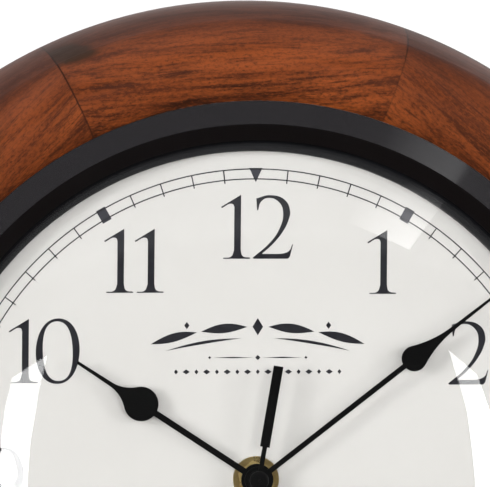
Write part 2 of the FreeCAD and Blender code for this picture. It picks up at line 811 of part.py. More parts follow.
def base_screw_group(label, places, end):
    """Pan-head screws whose heads lie against the underside of the slab."""
    head_height = value("screw_head_height")
    start = value("pad_height") - head_height
    screw = panhead(value("screw_core"), value("base_screw_head"), head_height, end - start)
    copies = [screw.translated(FreeCAD.Vector(x, y, start)) for x, y in places]
    return solid_feature(label, Part.makeCompound(copies))


put_on_floor(base_screw_group("cheek_screws", cheek_screw_places, value("base_screw_end")))
put_on_floor(base_screw_group("ring_screws", RING_SCREWS, value("ring_screw_end")))

pad_places = [
    (f"{x_side} * pad_across", f"{y_side} * pad_depth", "pad_radius")
    for x_side in (-1, 1)
    for y_side in (-1, 1)
]


def felt_pads():
    copies = []
    for across, depth, radius in pad_places:
        copies.append(cylinder(value(radius), 0, value("pad_height"), value(across), value(depth)))
    return Part.makeCompound(copies)


put_on_floor(solid_feature("felt_pads", felt_pads()))

# ------------------------------------------------------------- movement's case

POSTS = [(18, -8.5), (-17, -9), (14, 13)]
POST_RADIUS = 1.5
MIDDLE_BACK = -0.9
MIDDLE_FRONT = -0.3
PIVOT = 0.35
ARBOR = 0.5
SETTING_ARBOR = 1.0
PIVOT_PLAY = 0.06
# left, right, lower and upper edge of the plate that carries the train
MIDDLE_PLATE = (-19, 20, -10.8, 15.4)

case = new_body("movement_front_case")
case_outline = box_outline("-case_half", "case_half", "-case_half", "case_half")
pad_between(case, "block", "case_rim", "case_front", outlines=[case_outline])
inner = "case_half - case_wall"
pocket_between(
    case,
    "bays",
    "case_rim",
    "case_inside",
    outlines=[
        box_outline(f"-({inner})", inner, "divider_top", inner),
        box_outline(f"-({inner})", inner, f"-({inner})", "divider_bottom"),
    ],
)
pad_between(
    case,
    "posts",
    str(MIDDLE_FRONT),
    "case_inside",
    circles=[(x, y, POST_RADIUS) for x, y in POSTS],
)
pocket_between(case, "bushing_hole", "case_inside", "case_front", circles=[(0, 0, "bushing_radius")])
stand(case)

stand(
    turned(
        "threaded_bushing",
        [
            ("bushing_bore", "case_inside - flange_thickness"),
            ("flange_radius", "case_inside - flange_thickness"),
            ("flange_radius", "case_inside"),
            ("bushing_radius", "case_inside"),
            ("bushing_radius", "bushing_front - bushing_bevel"),
            ("bushing_radius - bushing_bevel", "bushing_front"),
            ("bushing_bore", "bushing_front"),
        ],
    )
)

stand(
    plate(
        "rubber_washer",
        "case_front",
        "board_back",
        circles=[(0, 0, "rubber_radius"), (0, 0, "bushing_radius")],
    )
)

stand(
    plate(
        "brass_washer",
        "dial_front",
        "washer_front",
        circles=[(0, 0, "washer_radius"), (0, 0, "bushing_radius + bushing_play")],
    )
)


NUT_FACE = 0.96


def hexagon_nut():
    """A hexagon with its corners turned down to a cone. The flat face left at
    the front is a circle of NUT_FACE times the width across the flats."""
    flats = value("nut_flats") / 2
    corner = flats / math.cos(math.radians(30))
    low = value("washer_front")
    high = value("nut_front")
    thickness = high - low
    corners = []
    for index in range(7):
        angle = math.radians(60 * index + 30)
        corners.append(FreeCAD.Vector(corner * math.cos(angle), corner * math.sin(angle), low))
    prism = Part.Face(Part.makePolygon(corners)).extrude(FreeCAD.Vector(0, 0, thickness))
    cone_start = FreeCAD.Vector(0, 0, low - thickness)
    cone = Part.makeCone(corner + 2 * thickness, flats * NUT_FACE, 2 * thickness, cone_start)
    bore = cylinder(value("bushing_radius"), low - 1, high + 1)
    return prism.common(cone).cut(bore)


stand(solid_feature("hex_nut", hexagon_nut()), turn=value("nut_turn"))

middle = new_body("movement_middle_plate")
pad_between(
    middle,
    "plate",
    str(MIDDLE_BACK),
    str(MIDDLE_FRONT),
    outlines=[box_outline(*MIDDLE_PLATE)],
    circles=[
        (0, 0, f"seconds_arbor + {PIVOT_PLAY}"),
        (THIRD_AT[0], THIRD_AT[1], ARBOR + PIVOT_PLAY),
        (REVERSE_AT[0], REVERSE_AT[1], PIVOT + PIVOT_PLAY),
        (SETTING_AT[0], SETTING_AT[1], SETTING_ARBOR + PIVOT_PLAY),
        (STEP_AT[0], STEP_AT[1], PIVOT + PIVOT_PLAY),
        (ROTOR_AT[0], ROTOR_AT[1], PIVOT + PIVOT_PLAY),
    ],
)
stand(middle)

cover = new_body("movement_back_cover")
pad_between(
    cover,
    "plate",
    "cover_back",
    "case_rim",
    outlines=[box_outline("-case_half", "case_half", "divider_bottom", "case_half")],
    circles=[
        (0, 0, PIVOT + PIVOT_PLAY),
        (THIRD_AT[0], THIRD_AT[1], PIVOT + PIVOT_PLAY),
        (SETTING_AT[0], SETTING_AT[1], SETTING_ARBOR + PIVOT_PLAY),
        (STEP_AT[0], STEP_AT[1], PIVOT + PIVOT_PLAY),
        (ROTOR_AT[0], ROTOR_AT[1], PIVOT + PIVOT_PLAY),
    ],
)
stand(cover)

# ------------------------------------------------------------ movement's gears


def gear_wire(teeth, module, phase, height):
    """A toothed outline with a tooth centred on the phase angle."""
    pitch = teeth * module / 2
    step = 2 * math.pi / teeth
    root = pitch - 1.15 * module
    tip = pitch + 0.75 * module
    corners = []
    for tooth in range(teeth):
        middle_angle = phase + tooth * step
        for radius, share in ((root, -0.29), (pitch, -0.19), (tip, -0.09),
                              (tip, 0.09), (pitch, 0.19), (root, 0.29)):
            angle = middle_angle + share * step
            corners.append(
                FreeCAD.Vector(radius * math.cos(angle), radius * math.sin(angle), height)
            )
    return Part.makePolygon(corners + corners[:1])


def gear_solid(teeth, module, phase, level):
    back, front = level
    face = Part.Face(gear_wire(teeth, module, phase, back))
    return face.extrude(FreeCAD.Vector(0, 0, front - back))


def gear(name, module, level, phase=0):
    return gear_solid(TEETH[name], module, phase, level)


def meshing_phase(driver, follower, start, end, driver_phase=0):
    """The phase that puts the follower's gap on the driver's tooth, where the
    driver turns about start and the follower about end."""
    direction = math.atan2(end[1] - start[1], end[0] - start[0])
    driver_step = 2 * math.pi / TEETH[driver]
    follower_step = 2 * math.pi / TEETH[follower]
    past_tooth = (direction - driver_phase) / driver_step
    return direction + math.pi - follower_step * (0.5 - past_tooth)


def joined(solids, bore=None):
    shape = solids[0].fuse(solids[1:]) if len(solids) > 1 else solids[0]
    if bore:
        shape = shape.cut(bore)
    return shape.removeSplitter()


CENTRE = (0, 0)

# the back and front of each wheel, pinion, arbor and pivot, from the middle plane
ROTOR_PINION_LEVEL = (-6.3, -4.9)
MAGNET_LEVEL = (-4.6, -1.8)
STEP_WHEEL_LEVEL = (-6.0, -5.2)
STEP_HUB_LEVEL = (-6.2, -4.5)
STEP_PINION_LEVEL = (-4.5, -3.1)
SECONDS_WHEEL_LEVEL = (-4.2, -3.4)
SECONDS_PINION_LEVEL = (-2.5, -1.1)
SECONDS_ARBOR_LEVEL = (-7.2, 20.8)
THIRD_WHEEL_LEVEL = (-2.2, -1.4)
THIRD_PINION_LEVEL = (0.0, 1.2)
THIRD_ARBOR_LEVEL = (-7.2, 5.2)
CENTRE_WHEEL_LEVEL = (0.2, 1.0)
CANNON_LEVEL = (1.6, 3.2)
MINUTE_TUBE_LEVEL = (0, 18.4)
REVERSE_WHEEL_LEVEL = (1.8, 3.0)
REVERSE_PINION_LEVEL = (2.9, 5.0)
REVERSE_ARBOR_LEVEL = (0.0, 5.2)
HOUR_WHEEL_LEVEL = (3.6, 4.7)
HOUR_PIPE_LEVEL = (3.6, 16.2)
SHORT_PIVOT_LEVEL = (-8.8, -7.2)
LONG_PIVOT_LEVEL = (-8.8, -0.5)
REVERSE_PIVOT_LEVEL = (-0.8, 0.0)
SETTING_ARBOR_LEVEL = (-9.6, 4.8)
KNOB_LEVEL = (-13.5, -9.6)

MAGNET_RADIUS = 2.5
STEP_HUB = 0.8
KNOB_RADIUS = 4.2
KNOB_RIDGES = 24


def through(level):
    """A little more than the level, for a bore that cuts right through it."""
    return level[0] - 1, level[1] + 1


rotor_parts = [
    gear("rotor_pinion", TRAIN_MODULE, ROTOR_PINION_LEVEL),
    cylinder(MAGNET_RADIUS, *MAGNET_LEVEL),
    cylinder(PIVOT, *LONG_PIVOT_LEVEL),
]
stand(solid_feature("rotor", joined(rotor_parts)), *ROTOR_AT)

step_phase = meshing_phase("rotor_pinion", "step_wheel", ROTOR_AT, STEP_AT)
step_parts = [
    gear("step_wheel", TRAIN_MODULE, STEP_WHEEL_LEVEL, step_phase),
    gear("step_pinion", TRAIN_MODULE, STEP_PINION_LEVEL),
    cylinder(PIVOT, *LONG_PIVOT_LEVEL),
    cylinder(STEP_HUB, *STEP_HUB_LEVEL),
]
stand(solid_feature("step_wheel", joined(step_parts)), *STEP_AT)

seconds_phase = meshing_phase("step_pinion", "seconds_wheel", STEP_AT, CENTRE)
seconds_parts = [
    gear("seconds_wheel", TRAIN_MODULE, SECONDS_WHEEL_LEVEL, seconds_phase),
    gear("seconds_pinion", TRAIN_MODULE, SECONDS_PINION_LEVEL),
    cylinder(value("seconds_arbor"), *SECONDS_ARBOR_LEVEL),
    cylinder(PIVOT, *SHORT_PIVOT_LEVEL),
]
stand(solid_feature("seconds_wheel", joined(seconds_parts)))

third_phase = meshing_phase("seconds_pinion", "third_wheel", CENTRE, THIRD_AT)
third_parts = [
    gear("third_wheel", TRAIN_MODULE, THIRD_WHEEL_LEVEL, third_phase),
    gear("third_pinion", CENTRE_MODULE, THIRD_PINION_LEVEL),
    cylinder(ARBOR, *THIRD_ARBOR_LEVEL),
    cylinder(PIVOT, *SHORT_PIVOT_LEVEL),
]
stand(solid_feature("third_wheel", joined(third_parts)), *THIRD_AT)

centre_phase = meshing_phase("third_pinion", "centre_wheel", THIRD_AT, CENTRE)
centre_wheel = gear("centre_wheel", CENTRE_MODULE, CENTRE_WHEEL_LEVEL, centre_phase)
tube_hole = cylinder(value("minute_tube"), *through(CENTRE_WHEEL_LEVEL))
stand(solid_feature("centre_wheel", joined([centre_wheel], tube_hole)))

tube_parts = [
    gear("cannon_pinion", CANNON_MODULE, CANNON_LEVEL),
    cylinder(value("minute_tube"), *MINUTE_TUBE_LEVEL),
]
tube_bore = cylinder(value("minute_tube_bore"), *through(MINUTE_TUBE_LEVEL))
stand(solid_feature("minute_tube", joined(tube_parts, tube_bore)))

reverse_phase = meshing_phase("cannon_pinion", "reverse_wheel", CENTRE, REVERSE_AT)
reverse_parts = [
    gear("reverse_wheel", CANNON_MODULE, REVERSE_WHEEL_LEVEL, reverse_phase),
    gear("reverse_pinion", HOUR_MODULE, REVERSE_PINION_LEVEL),
    cylinder(ARBOR, *REVERSE_ARBOR_LEVEL),
    cylinder(PIVOT, *REVERSE_PIVOT_LEVEL),
]
stand(solid_feature("reverse_wheel", joined(reverse_parts)), *REVERSE_AT)

hour_phase = meshing_phase("reverse_pinion", "hour_wheel", REVERSE_AT, CENTRE)
hour_parts = [
    gear("hour_wheel", HOUR_MODULE, HOUR_WHEEL_LEVEL, hour_phase),
    cylinder(value("hour_pipe"), *HOUR_PIPE_LEVEL),
]
hour_bore = cylinder(value("hour_pipe_bore"), *through(HOUR_PIPE_LEVEL))
stand(solid_feature("hour_wheel", joined(hour_parts, hour_bore)))


def knurled_knob(radius, ridges, level):
    """The knob that sets the hands, with a ridged rim to grip."""
    return gear_solid(ridges, 2 * radius / ridges, 0, level)


setting_phase = meshing_phase(
    "reverse_wheel", "setting_pinion", REVERSE_AT, SETTING_AT, reverse_phase
)
setting_parts = [
    gear("setting_pinion", CANNON_MODULE, CANNON_LEVEL, setting_phase),
    cylinder(SETTING_ARBOR, *SETTING_ARBOR_LEVEL),
    knurled_knob(KNOB_RADIUS, KNOB_RIDGES, KNOB_LEVEL),
]
stand(solid_feature("setting_knob", joined(setting_parts)), *SETTING_AT)

# ------------------------------------------------------ movement's electronics

STATOR_BACK = -3.6
STATOR_FRONT = -2.8
STATOR_LEFT = 10.8
STATOR_RIGHT = 24.5
STATOR_TOP = 24
WINDOW_LEFT = 12.6
WINDOW_RIGHT = 22.7
WINDOW_LOW = 8.5
ROTOR_HOLE = 3.1
COIL_UP = 20
COIL_OUT = (STATOR_BACK + STATOR_FRONT) / 2
COIL_LEFT = 12.8
COIL_RIGHT = 22.5
CORE_LEFT = 12.0
CORE_LENGTH = 11.3
CORE_RADIUS = 0.9
WINDING_RADIUS = 3.0
CHEEK_HALF = 3.4
CHEEK_FRONT = 3.2
CHEEK_THICKNESS = 0.8
ACROSS = FreeCAD.Vector(1, 0, 0)


def stator_shape():
    """A U of soft iron: a pole plate round the rotor and a leg to each end of the coil."""
    blank = flat_box(STATOR_LEFT, STATOR_RIGHT, 0, STATOR_TOP, STATOR_BACK, STATOR_FRONT)
    window = flat_box(
        WINDOW_LEFT, WINDOW_RIGHT, WINDOW_LOW, STATOR_TOP + 1, STATOR_BACK - 1, STATOR_FRONT + 1
    )
    rotor_hole = cylinder(ROTOR_HOLE, STATOR_BACK - 1, STATOR_FRONT + 1, *ROTOR_AT)
    start = FreeCAD.Vector(CORE_LEFT, COIL_UP, COIL_OUT)
    core = Part.makeCylinder(CORE_RADIUS, CORE_LENGTH, start, ACROSS)
    return blank.cut(window).cut(rotor_hole).fuse(core)


def bobbin_cheek(left):
    return flat_box(
        left,
        left + CHEEK_THICKNESS,
        COIL_UP - CHEEK_HALF,
        COIL_UP + CHEEK_HALF,
        COIL_OUT - CHEEK_HALF,
        COIL_OUT + CHEEK_FRONT,
    )


def coil_shape():
    """The bobbin's two cheeks and the winding between them."""
    length = COIL_RIGHT - COIL_LEFT
    start = FreeCAD.Vector(COIL_LEFT, COIL_UP, COIL_OUT)
    winding = Part.makeCylinder(WINDING_RADIUS, length, start, ACROSS)
    cheeks = [bobbin_cheek(COIL_LEFT), bobbin_cheek(COIL_RIGHT - CHEEK_THICKNESS)]
    core = Part.makeCylinder(CORE_RADIUS, length + 2, start - ACROSS, ACROSS)
    return winding.fuse(cheeks).cut(core)


stand(solid_feature("stator", stator_shape()))
stand(solid_feature("stepper_coil", coil_shape()))

# left, right, lower and upper edge of the circuit board
CIRCUIT_BOARD = (-25, -8, 14, 25)
CIRCUIT_BACK = -5
CIRCUIT_FRONT = -4
CHIP_AT = (-13, 19)
CHIP_RADIUS = 3
CHIP_HEIGHT = 0.9
CRYSTAL_START = FreeCAD.Vector(-24, 22.5, -6)
CRYSTAL_RADIUS = 1.0
CRYSTAL_LENGTH = 6

board_outline = box_outline(*CIRCUIT_BOARD)
stand(plate("circuit_board", str(CIRCUIT_BACK), str(CIRCUIT_FRONT), outlines=[board_outline]))
chip_back = str(CIRCUIT_BACK - CHIP_HEIGHT)
stand(plate("timing_chip", chip_back, str(CIRCUIT_BACK), circles=[(*CHIP_AT, CHIP_RADIUS)]))
crystal = Part.makeCylinder(CRYSTAL_RADIUS, CRYSTAL_LENGTH, CRYSTAL_START, ACROSS)
stand(solid_feature("quartz_crystal", crystal))

BATTERY_END = value("battery_half")
BATTERY_UP = value("battery_up")
BATTERY_OUT = value("battery_out")
BAY_END = value("case_half - case_wall")
BUTTON_LENGTH = 1.2
BUTTON_RADIUS = 2.7
CAN_ROUND = 0.6
CONTACT_SHEET = 0.4
POSITIVE_HALF = 5
POSITIVE_BACK = -6.5
POSITIVE_FRONT = 2
NEGATIVE_HALF = 6
NEGATIVE_BACK = -7
NEGATIVE_FRONT = 3
SPRING_WIDE = 4
SPRING_NARROW = 2.5


def battery_shape():
    """An AA cell along X with its button at the right."""
    start = FreeCAD.Vector(-BATTERY_END, BATTERY_UP, BATTERY_OUT)
    can_length = 2 * BATTERY_END - BUTTON_LENGTH
    radius = value("battery_radius")
    can = Part.makeCylinder(radius, can_length, start, ACROSS)
    # the seam is an edge too, but an open one
    end_edges = [edge for edge in can.Edges if edge.Closed and edge.Length > 6 * radius]
    button = Part.makeCylinder(BUTTON_RADIUS, BUTTON_LENGTH, start + ACROSS * can_length, ACROSS)
    return can.makeFillet(CAN_ROUND, end_edges).fuse(button)


def positive_contact():
    """A plate that the battery's button touches, with a foot to the wall of the bay."""
    low = BATTERY_UP - POSITIVE_HALF
    high = BATTERY_UP + POSITIVE_HALF
    contact = flat_box(
        BATTERY_END, BATTERY_END + CONTACT_SHEET, low, high, POSITIVE_BACK, POSITIVE_FRONT
    )
    foot_back = POSITIVE_FRONT - CONTACT_SHEET
    return contact.fuse(flat_box(BATTERY_END, BAY_END, low, high, foot_back, POSITIVE_FRONT))


def spring_contact():
    """A plate with a coil spring that presses on the battery's flat end."""
    contact = flat_box(
        -BAY_END,
        CONTACT_SHEET - BAY_END,
        BATTERY_UP - NEGATIVE_HALF,
        BATTERY_UP + NEGATIVE_HALF,
        NEGATIVE_BACK,
        NEGATIVE_FRONT,
    )
    reach = BAY_END - BATTERY_END - CONTACT_SHEET
    start = FreeCAD.Vector(CONTACT_SHEET - BAY_END, BATTERY_UP, BATTERY_OUT)
    return contact.fuse(Part.makeCone(SPRING_WIDE, SPRING_NARROW, reach, start, ACROSS))


stand(solid_feature("aa_battery", battery_shape()))
stand(solid_feature("battery_contact_positive", positive_contact()))
stand(solid_feature("battery_contact_negative", spring_contact()))

# ---------------------------------------------------------------------- hands


def spade_hand(label, name, bore):
    """A hub, a rod, a round bulb with hollow shoulders and a fine tip, along X."""
    body = new_body(label)
    back = f"{name}_back"
    front = f"{name}_back + hand_thickness"
    rod = f"{name}_rod"
    bulb_at = f"{name}_bulb_at"
    bulb = f"{name}_bulb"
    along = f"{bulb_at} + {name}_shoulder_along"
    side = f"{name}_shoulder_side"
    rear = f"{bulb_at} - sqrt({bulb} ^ 2 - {rod} ^ 2)"
    pad_between(
        body,
        "blade",
        back,
        front,
        outlines=[
            [
                (0, f"-{rod}"),
                (rear, f"-{rod}", bulb, -1),
                (bulb_at, f"-{bulb}", bulb, -1),
                (along, f"-{side}", f"{name}_shoulder_curve", 1),
                (f"{name}_neck_at", f"-{name}_neck"),
                (f"{name}_tip_at", f"-{name}_tip"),
                (f"{name}_tip_at", f"{name}_tip"),
                (f"{name}_neck_at", f"{name}_neck", f"{name}_shoulder_curve", 1),
                (along, side, bulb, -1),
                (bulb_at, bulb, bulb, -1),
                (rear, rod),
                (0, rod),
            ]
        ],
    )
    pad_between(body, "hub", back, front, circles=[(0, 0, f"{name}_hub")])
    boss_back = f"{name}_boss_back"
    boss_front = f"{name}_boss_front"
    pad_between(body, "boss", boss_back, boss_front, circles=[(0, 0, f"{name}_boss")])
    pocket_between(body, "bore", boss_back, boss_front, circles=[(0, 0, bore)])
    return body


hour_turn = 90 - value("hour_angle")
stand(spade_hand("hour_hand", "hour", "hour_pipe"), turn=hour_turn)
minute_turn = 90 - value("minute_angle")
stand(spade_hand("minute_hand", "minute", "minute_tube"), turn=minute_turn)

second = new_body("second_hand")
second_front = "second_back + second_thickness"
pad_between(
    second,
    "pointer",
    "second_back",
    second_front,
    outlines=[
        [
            (0, "-second_stem"),
            ("second_reach", "-second_point"),
            ("second_reach", "second_point"),
            (0, "second_stem"),
        ]
    ],
)
pad_between(
    second,
    "tail",
    "second_back",
    second_front,
    outlines=[
        [
            (0, "second_stem"),
            ("-second_bar_start", "second_stem"),
            ("-second_bar_start", "second_bar"),
            ("-second_bar_end", "second_bar"),
            ("-second_bar_end", "-second_bar"),
            ("-second_bar_start", "-second_bar"),
            ("-second_bar_start", "-second_stem"),
            (0, "-second_stem"),
        ]
    ],
)
pad_between(second, "hub", "second_back", second_front, circles=[(0, 0, "second_hub")])
boss_back = "second_back - second_boss_length"
pad_between(second, "boss", boss_back, "second_back", circles=[(0, 0, "second_boss")])
pocket_between(second, "bore", boss_back, second_front, circles=[(0, 0, "seconds_arbor")])
stand(second, turn=90 - value("second_angle"))

stand(
    turned(
        "second_hand_cap",
        [
            ("seconds_arbor", second_front),
            ("cap_radius", second_front),
            ("cap_radius", "cap_shoulder", "cap_round", -1),
            ("cap_face", "cap_front"),
            ("seconds_arbor", "cap_front"),
        ],
    )
)

# ---------------------------------------------------------- checks and writing

document.recompute()
for item in document.Objects:
    if "Invalid" in item.State or "Error" in item.State:
        raise RuntimeError(f"{item.Label} failed: {item.getStatusString()}")
os.makedirs("parts", exist_ok=True)
for item in finished:
    if item.Shape.isNull() or not item.Shape.isValid():
        raise RuntimeError(f"{item.Label} has no valid shape")
    item.Shape.exportStep(f"parts/{item.Label}.step")
    print(f"{item.Label}: {item.Shape.Volume:.1f} mm3, {len(item.Shape.Solids)} solids")
print(len(finished), "sub-parts")
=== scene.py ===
import math

import bmesh
import bpy
from mathutils import Matrix, Vector


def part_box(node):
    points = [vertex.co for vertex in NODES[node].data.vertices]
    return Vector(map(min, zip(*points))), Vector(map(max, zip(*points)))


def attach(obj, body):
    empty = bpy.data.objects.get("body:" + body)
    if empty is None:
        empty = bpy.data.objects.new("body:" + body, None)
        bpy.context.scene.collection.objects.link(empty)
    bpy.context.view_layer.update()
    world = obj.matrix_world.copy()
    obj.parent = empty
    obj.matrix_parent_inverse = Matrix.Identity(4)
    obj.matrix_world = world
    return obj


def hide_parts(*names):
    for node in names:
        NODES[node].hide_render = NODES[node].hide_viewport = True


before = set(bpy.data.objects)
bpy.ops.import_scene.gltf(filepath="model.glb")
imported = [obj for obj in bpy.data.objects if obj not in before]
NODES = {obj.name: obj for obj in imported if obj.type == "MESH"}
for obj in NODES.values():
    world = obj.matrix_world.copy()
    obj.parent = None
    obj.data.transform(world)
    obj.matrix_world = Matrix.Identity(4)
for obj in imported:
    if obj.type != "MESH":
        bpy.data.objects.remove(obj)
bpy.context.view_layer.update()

# A mantel clock's looks around its CAD frame. Lengths are metres, but the dial
# and the glass are drawn in millimetres. The clock faces -Y. "Across" is X and
# "up" is Z, both from the axis that the hands turn on.

MM = 0.001

bezel_low, bezel_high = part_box("bezel_ring")
AXIS_UP = (bezel_low.z + bezel_high.z) / 2
CENTRE = Vector((0, 0, AXIS_UP))
DIAL_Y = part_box("dial_paper")[0].y
SEGMENTS = 8
# the joint between segments 1 and 2, in degrees clockwise from the top
SEAM_ANGLE = 19.1


def on_dial(across, up, lift=0.0):
    """A point on the dial, in millimetres from its centre."""
    return Vector((across * MM, DIAL_Y - lift * MM, AXIS_UP + up * MM))


# ------------------------------------------------------------------- camera

CAMERA_PLACE = Vector((-0.1564, -1.5024, 0.2308))
CAMERA_YAW = math.radians(5.864)
CAMERA_PITCH = math.radians(-0.04)
CAMERA_LENS = 364.2


def make_camera():
    data = bpy.data.cameras.new("camera")
    data.lens = CAMERA_LENS
    data.sensor_width = 36
    data.clip_end = 30
    camera = bpy.data.objects.new("camera", data)
    bpy.context.scene.collection.objects.link(camera)
    camera.location = CAMERA_PLACE
    camera.rotation_euler = (math.pi / 2 + CAMERA_PITCH, 0, -CAMERA_YAW)
    bpy.context.scene.camera = camera


# --------------------------------------------------------------- node sums


def maths(tree, operation, first, second):
    """The result of a sum. Each side is a number or another node's socket."""
    node = tree.nodes.new("ShaderNodeMath")
    node.operation = operation
    for index, value in enumerate((first, second)):
        if isinstance(value, (int, float)):
            node.inputs[index].default_value = value
        else:
            tree.links.new(value, node.inputs[index])
    return node.outputs[0]


def spread(tree, factor, low, high, out_low=0.0, out_high=1.0):
    """Maps low to high onto out_low to out_high, and holds beyond the ends."""
    node = tree.nodes.new("ShaderNodeMapRange")
    node.clamp = True
    tree.links.new(factor, node.inputs["Value"])
    node.inputs["From Min"].default_value = low
    node.inputs["From Max"].default_value = high
    node.inputs["To Min"].default_value = out_low
    node.inputs["To Max"].default_value = out_high
    return node.outputs["Result"]


# ------------------------------------------------------------------- lights


def area_light(name, place, wide, tall, watts, shines=True):
    """A rectangular lamp aimed at the dial. One that doesn't shine lights
    surfaces but leaves no reflection of itself in glass or lacquer."""
    data = bpy.data.lights.new(name, "AREA")
    data.shape = "RECTANGLE"
    data.size = wide
    data.size_y = tall
    data.energy = watts
    light = bpy.data.objects.new(name, data)
    bpy.context.scene.collection.objects.link(light)
    light.location = place
    light.rotation_euler = (CENTRE - place).to_track_quat("-Z", "Y").to_euler()
    light.visible_glossy = shines
    light.visible_transmission = shines


def around(azimuth, elevation, distance):
    """A place seen from the dial: azimuth turns right from straight ahead."""
    turn = math.radians(azimuth)
    rise = math.radians(elevation)
    level = math.cos(rise)
    return CENTRE + distance * Vector(
        (math.sin(turn) * level, -math.cos(turn) * level, math.sin(rise))
    )


PANEL_DISTANCE = 2.0
# each panel's corners as (azimuth, elevation) seen from the dial, in degrees
LEFT_PANEL = [
    (-22.8, -3.6), (-22.4, 2.0), (-21.5, 8.0), (-20.6, 12.5), (-24.8, 9.7), (-25.4, 6.5),
    (-25.8, 3.0), (-26.0, -3.6),
]
RIGHT_PANEL = [(35.0, -3.6), (34.3, 5.0), (32.9, 9.5), (29.5, 12.5), (31.4, 5.1), (32.3, -3.6)]
HIGH_PANEL = [(26.2, 24.5), (33.0, 30.2), (25.0, 36.0), (13.0, 34.0), (16.0, 29.4)]


def panel_lamp(name, corners, bright, dim, near, far):
    """A glowing panel that shows in the dome but not to the camera. It is
    bright up to near metres from its first corner, and dim from far metres on."""
    mesh = bpy.data.meshes.new(name)
    places = [around(azimuth, elevation, PANEL_DISTANCE) for azimuth, elevation in corners]
    mesh.from_pydata(places, [], [list(range(len(places)))])
    material = bpy.data.materials.new(name)
    material.use_nodes = True
    tree = material.node_tree
    tree.nodes.clear()
    output = tree.nodes.new("ShaderNodeOutputMaterial")
    glow = tree.nodes.new("ShaderNodeEmission")
    surface = tree.nodes.new("ShaderNodeNewGeometry")
    away = tree.nodes.new("ShaderNodeVectorMath")
    away.operation = "DISTANCE"
    away.inputs[1].default_value = places[0]
    tree.links.new(surface.outputs["Position"], away.inputs[0])
    fade = spread(tree, away.outputs["Value"], near, far, bright, dim)
    tree.links.new(fade, glow.inputs["Strength"])
    tree.links.new(glow.outputs["Emission"], output.inputs["Surface"])
    panel = new_object(name, mesh, material)
    panel.visible_camera = False


# The ceiling's edge, as the height of the direction in which it is seen. It
# is highest a little to the right of the clock's axis and falls to both sides.
CEILING_EDGE = 0.431
CEILING_EDGE_ACROSS = 0.08
CEILING_EDGE_CURVE = 0.58
CEILING_SOFTNESS = 0.012
CEILING_GLOW = 0.25
ROOM_GLOW = 0.04
BACKDROP_GLOW = 1.05


def make_world():
    """White to the camera, and a dim room under a paler ceiling to the rest."""
    world = bpy.data.worlds.new("studio")
    bpy.context.scene.world = world
    world.use_nodes = True
    tree = world.node_tree
    tree.nodes.clear()
    output = tree.nodes.new("ShaderNodeOutputWorld")
    backdrop = tree.nodes.new("ShaderNodeBackground")
    backdrop.inputs["Strength"].default_value = BACKDROP_GLOW
    room = tree.nodes.new("ShaderNodeBackground")
    direction = tree.nodes.new("ShaderNodeTexCoord")
    parts = tree.nodes.new("ShaderNodeSeparateXYZ")
    tree.links.new(direction.outputs["Generated"], parts.inputs[0])
    across = maths(tree, "SUBTRACT", parts.outputs["X"], CEILING_EDGE_ACROSS)
    fall = maths(tree, "MULTIPLY", maths(tree, "MULTIPLY", across, across), CEILING_EDGE_CURVE)
    height = maths(tree, "ADD", parts.outputs["Z"], fall)
    glow = spread(tree, height, CEILING_EDGE - CEILING_SOFTNESS, CEILING_EDGE + CEILING_SOFTNESS,
                  ROOM_GLOW, CEILING_GLOW)
    tree.links.new(glow, room.inputs["Strength"])
    path = tree.nodes.new("ShaderNodeLightPath")
    mix = tree.nodes.new("ShaderNodeMixShader")
    tree.links.new(path.outputs["Is Camera Ray"], mix.inputs["Fac"])
    tree.links.new(room.outputs["Background"], mix.inputs[1])
    tree.links.new(backdrop.outputs["Background"], mix.inputs[2])
    tree.links.new(mix.outputs["Shader"], output.inputs["Surface"])
    for node in (backdrop, room):
        node.inputs["Color"].default_value = (1, 1, 1, 1)


def make_lights():
    for name, corners in (("left_panel", LEFT_PANEL), ("right_panel", RIGHT_PANEL)):
        panel_lamp(name, corners, bright=13, dim=5, near=0.28, far=0.42)
    panel_lamp("high_panel", HIGH_PANEL, bright=3.0, dim=0.2, near=0.0, far=0.28)
    area_light("left_fill", around(-46, 4, 2.4), 0.9, 1.2, watts=46, shines=False)
    area_light("right_fill", around(46, 4, 2.4), 0.9, 1.2, watts=33, shines=False)
    area_light("front_fill", around(0, 3, 3.4), 3.0, 0.8, watts=82, shines=False)
    area_light("top_fill", around(0, 80, 2.4), 2.0, 2.0, watts=13, shines=False)
    area_light("back_fill", around(-165, 12, 2.6), 1.6, 1.6, watts=42, shines=False)
    area_light("back_left_softbox", around(-140, 12, 2.2), 0.9, 0.9, watts=2.2)
    area_light("back_right_softbox", around(150, 20, 2.2), 0.9, 0.9, watts=1.6)
    bpy.context.scene.view_settings.view_transform = "Standard"


# ---------------------------------------------------------------- materials


